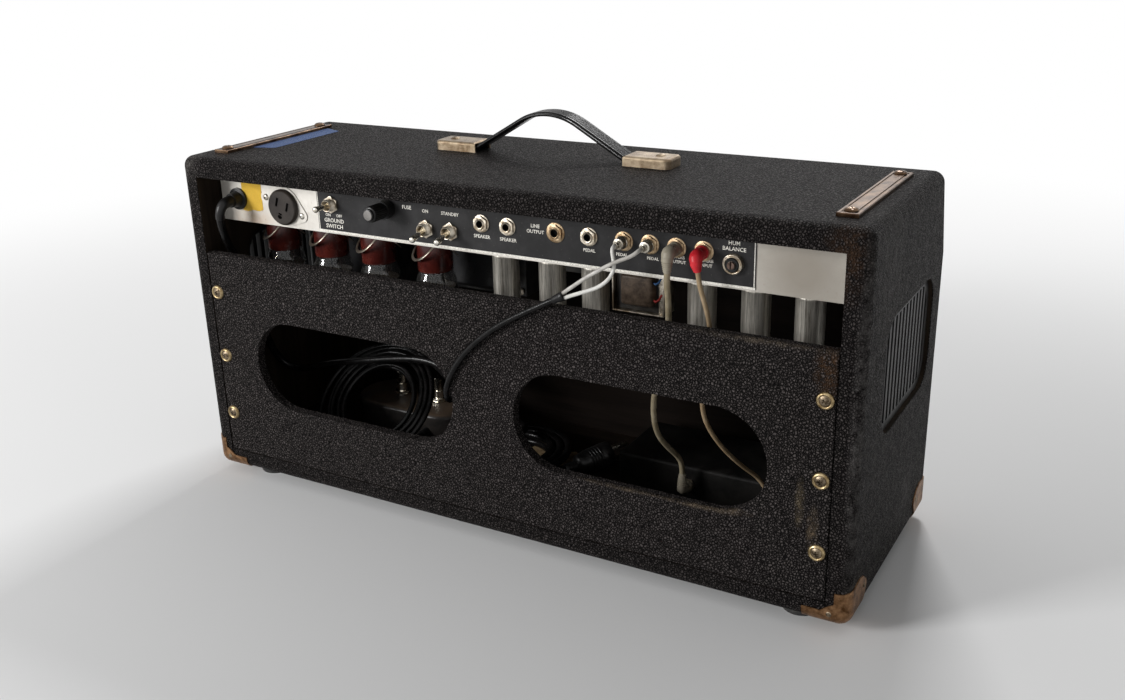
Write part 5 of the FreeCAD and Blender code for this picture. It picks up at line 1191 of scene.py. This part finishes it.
for x in preamp_places:
    at = Vector((x, row, 0))
    turn(bm, [(0, 262.5), (10.3, 262.5), (10.3, 270.5), (0, 270.5)], at)
    turn(bm, [(12.2, 258.7), (13.2, 258.5), (13.6, 258.9), (13.6, 260), (13.3, 260.4), (13.3, 264), (13.6, 264.4),
              (13.6, 265.7), (10.4, 265.7), (10.4, 264.6), (12.2, 264.4), (12.2, 258.7)], at, UP, 2, 56)
    for a in (0.9, 0.9 + math.pi):
        bar(bm, Matrix.Translation(at) @ Matrix.Rotation(a, 4, "Z"), 13.3, 14.3, -2.2, 2.2, 260.4, 262.2, finish=2)
finished("sockets_and_retainers", bm, [phenolic, spring_steel, shield_metal], "socket_phenolic", "tube_sockets")

# Transformers. Stacks of thin steel laminations, lacquered black, between pressed end bells; the small
# reverb driver stands in an open frame and shows its taped bobbin with two of its leads.
core_black, n, shader = material("core_lacquer", Roughness=0.45, Metallic=0.2)
leaves = texture(n, "Wave", 900.0, Distortion=0.3)
leaves.bands_direction = "Y"
feed(shader, Base_Color=blend_colour(noise(n, 70.0, 8.0), (0.010, 0.010, 0.010), (0.050, 0.044, 0.038), 0.42, 0.75))
relief(leaves.outputs["Fac"], shader, 0.00015, 0.5)
bell_black, n, shader = material("bell_enamel", Base_Color=(0.012, 0.012, 0.013, 1))
orange_peel = noise(n, 400.0, 3.0)
feed(shader, Roughness=blend_value(orange_peel, 0.22, 0.40))
relief(orange_peel, shader, 0.0001)
coat("power_transformer", bell_black, (core_black, lambda c: -0.0512 < c.y < -0.0108))
frame_steel = metal("frame_steel", (0.16, 0.12, 0.08), (0.55, 0.50, 0.42), 0.40, 55.0, pits=0.0003)
bobbin = mottled("bobbin_paper", (0.022, 0.014, 0.009), (0.115, 0.082, 0.058), (0.35, 0.70), (120.0, 8.0, 0.7),
                 depth=0.0004, Roughness=0.45, Specular_IOR_Level=0.2)
blue_wire = plastic("blue_wire", (0.01, 0.05, 0.14), (0.02, 0.09, 0.22), 0.4)
red_wire = plastic("red_wire", (0.20, 0.010, 0.008), (0.30, 0.018, 0.014), 0.4)


def pillow(bm, x0, x1, y0, y1, z0, z1, r, finish):
    """Adds a block whose edges are rounded over."""
    rounded = bmesh.new()
    bmesh.ops.create_cube(rounded, size=1.0, matrix=block(Matrix(), x0, x1, y0, y1, z0, z1))
    bmesh.ops.bevel(rounded, geom=rounded.edges[:], offset=r, segments=5, profile=0.5, affect="EDGES")
    for f in rounded.faces:
        f.material_index = finish
    shape = bpy.data.meshes.new("block")
    rounded.to_mesh(shape)
    rounded.free()
    bm.from_mesh(shape)
    bpy.data.meshes.remove(shape)


bm = bmesh.new()
for x, y, w, stack, h, bell, r in ((75, -26, 95, 35, 70, 20, 7), (-10, -36, 60, 20, 45, 12, 5)):
    pillow(bm, x - w / 2, x + w / 2, y - stack / 2, y + stack / 2, floor_z - h, floor_z, 0.8, 0)
    for s in (1, -1):
        y0, y1 = sorted((y + s * (stack / 2 - 6), y + s * (stack / 2 + bell)))
        pillow(bm, x - w / 2 + 8, x + w / 2 - 8, y0, y1, floor_z - h + 8, floor_z - 8, r * 0.85, 1)
        for u, v in ((-1, -1), (1, -1), (-1, 1), (1, 1)):
            corner = (x + u * (w / 2 - 5), y + s * stack / 2, floor_z - h / 2 + v * (h / 2 - 5))
            nut(bm, stand(corner, (0, s, 0)), 5.5, 2.2, 0, 0.2, 2, 24)
x, y = -126, 51.5
for x0, x1, y0, y1, low, high, r, finish in (
        (-21.8, 21.8, -8, 7.8, -40.5, 0, 0.6, 0), (-15, 15, -13, 15.8, -34.5, -7.5, 3.2, 3),
        (-24, -22.6, -8.5, 12.5, -41.5, 0, 0.5, 2), (22.6, 24, -8.5, 12.5, -41.5, 0, 0.5, 2),
        (-24, 24, -8.5, 12.5, -42, -40.6, 0.5, 2), (-24, -17.6, 8, 9.2, -41.5, 0, 0.4, 2)):
    pillow(bm, x + x0, x + x1, y + y0, y + y1, floor_z + low, floor_z + high, r, finish)
for finish, h in ((4, 13), (5, 28)):
    tube_along(bm, [(x + a, y + b, floor_z - h + c) for a, b, c in
                    ((-14, 12, 0), (-17.2, 13.8, -0.6), (-20, 13.4, 1.2), (-21.2, 10.4, 5))], [0.9] * 4, finish, 10)
finished("small_transformers", bm, [core_black, bell_black, frame_steel, bobbin, blue_wire, red_wire],
         "transformer_black", "output_transformers", angle=40)
board_fibre = plastic("board_fibre", (0.030, 0.020, 0.012), (0.070, 0.050, 0.032), 0.55)
coat("circuit_board", board_fibre, (red_plastic, lambda c: c.z > 0.2742 and -0.0210 < c.y < 0.0055))

# Reverb tank and footswitch. The tank is a drawn steel pan in dark lacquer with two phono sockets; the
# footswitch is a pressed cover, brown with dust on top, with two sprung nickel buttons.
tank_black = metal("tank_lacquer", (0.004, 0.004, 0.004), (0.014, 0.013, 0.012), 0.50, 40.0, pits=0.0003,
                   Metallic=0.1, Specular_IOR_Level=0.1)
coat("reverb_tank", tank_black, (dull_nickel, lambda c: c.y > 0.0067))
switch_paint, n, shader = material("switch_paint", Specular_IOR_Level=0.15)
dust = noise(n, 34.0, 10.0, 0.7)
facing = add(n, "ShaderNodeSeparateXYZ", {0: add(n, "ShaderNodeNewGeometry").outputs["Normal"]})
settled = calculate("MULTIPLY", blend_value(facing.outputs["Z"], 0.0, 1.0, 0.55, 0.95),
                    blend_value(dust, 0.25, 1.0, 0.35, 0.62))
paint = blend_colour(dust, (0.016, 0.015, 0.015), (0.044, 0.038, 0.034), 0.4, 0.7)
feed(shader, Base_Color=mixed(settled, paint, (0.080, 0.055, 0.037)), Roughness=blend_value(settled, 0.30, 0.60))
relief(noise(n, 420.0, 3.0), shader, 0.0002)
coat("footswitch_base", switch_paint, (bright_nickel, lambda c: c.z > 0.0602), (black_plastic, lambda c: c.y > 0.0138))
for node in ("footswitch_button_a", "footswitch_button_b"):
    coat(node, bright_nickel)

# Scrap of torn brown paper, stuck flat on the cabinet's floor in front of the plug.
paper = mottled("torn_paper", (0.13, 0.075, 0.035), (0.42, 0.31, 0.17), (0.35, 0.66), (150.0, 8.0, 0.7),
                depth=0.0003, Roughness=0.85)
torn = [(37, -33), (14, -31), (-8, -33), (-27, -29), (-33, -12), (-31, -2), (-20, 3), (-11, -1), (-2, 7), (6, 5),
        (8, -4), (17, -6), (28, 3), (36, -8)]
bm = bmesh.new()
rim = []
for i, ((x, y), (x2, y2)) in enumerate(zip(torn, torn[1:] + torn[:1])):
    for k in range(8):
        wave = 0.9 * math.sin(i * 2.3 + k * 1.9) + 0.5 * math.sin(i * 5.1 + k * 3.7)
        rim.append(bm.verts.new((x + (x2 - x) * k / 8 + wave, y + (y2 - y) * k / 8 + wave * 0.8, 29)))
thick = bmesh.ops.extrude_face_region(bm, geom=[bm.faces.new(rim)])["geom"]
bmesh.ops.translate(bm, verts=[v for v in thick if isinstance(v, bmesh.types.BMVert)], vec=(0, 0, 0.3))
finished("floor_paper", bm, [paper], "boards")

# Knobs. Black moulded knobs, each with a fluted grip, a skirt and a white line that points to a dial of
# numbers printed on the front plate.
bm = bmesh.new()
dial = [(str(number), math.radians(-150 + 30 * number)) for number in range(11)]
words(bm, [(text, x + 15.1 * math.sin(a), 15.1 * math.cos(a), 1.7) for x in knob_places.values() for text, a in dial],
      front_sheet)
finished("dial_numbers", bm, [white_ink], "front_black")
for node, x in knob_places.items():
    coat("knob_" + node, black_plastic)
    bm = bmesh.new()
    bar(bm, front_at(x), -0.45, 0.45, 1.6, 7.2, 18.68, 18.88)
    finished("pointer_" + node, bm, [white_ink], "knob_black", body="knob_" + node)
bm = bmesh.new()
hum_at = (-220.3, rear, 286)
turn(bm, [(5.4, 3.6), (6, 4.4), (6.6, 4), (7.2, 4.4), (7.9, 4), (8.2, 3), (8.2, 0)], hum_at, BACK, 0, 56)
turn(bm, [(3.2, 5.2), (5.2, 5.2), (5.4, 3.6)], hum_at, BACK, 1, 56)
bmesh.ops.remove_doubles(bm, verts=bm.verts, dist=0.001)
finished("hum_collar", bm, [dull_nickel, black_hole], "pot_metal")
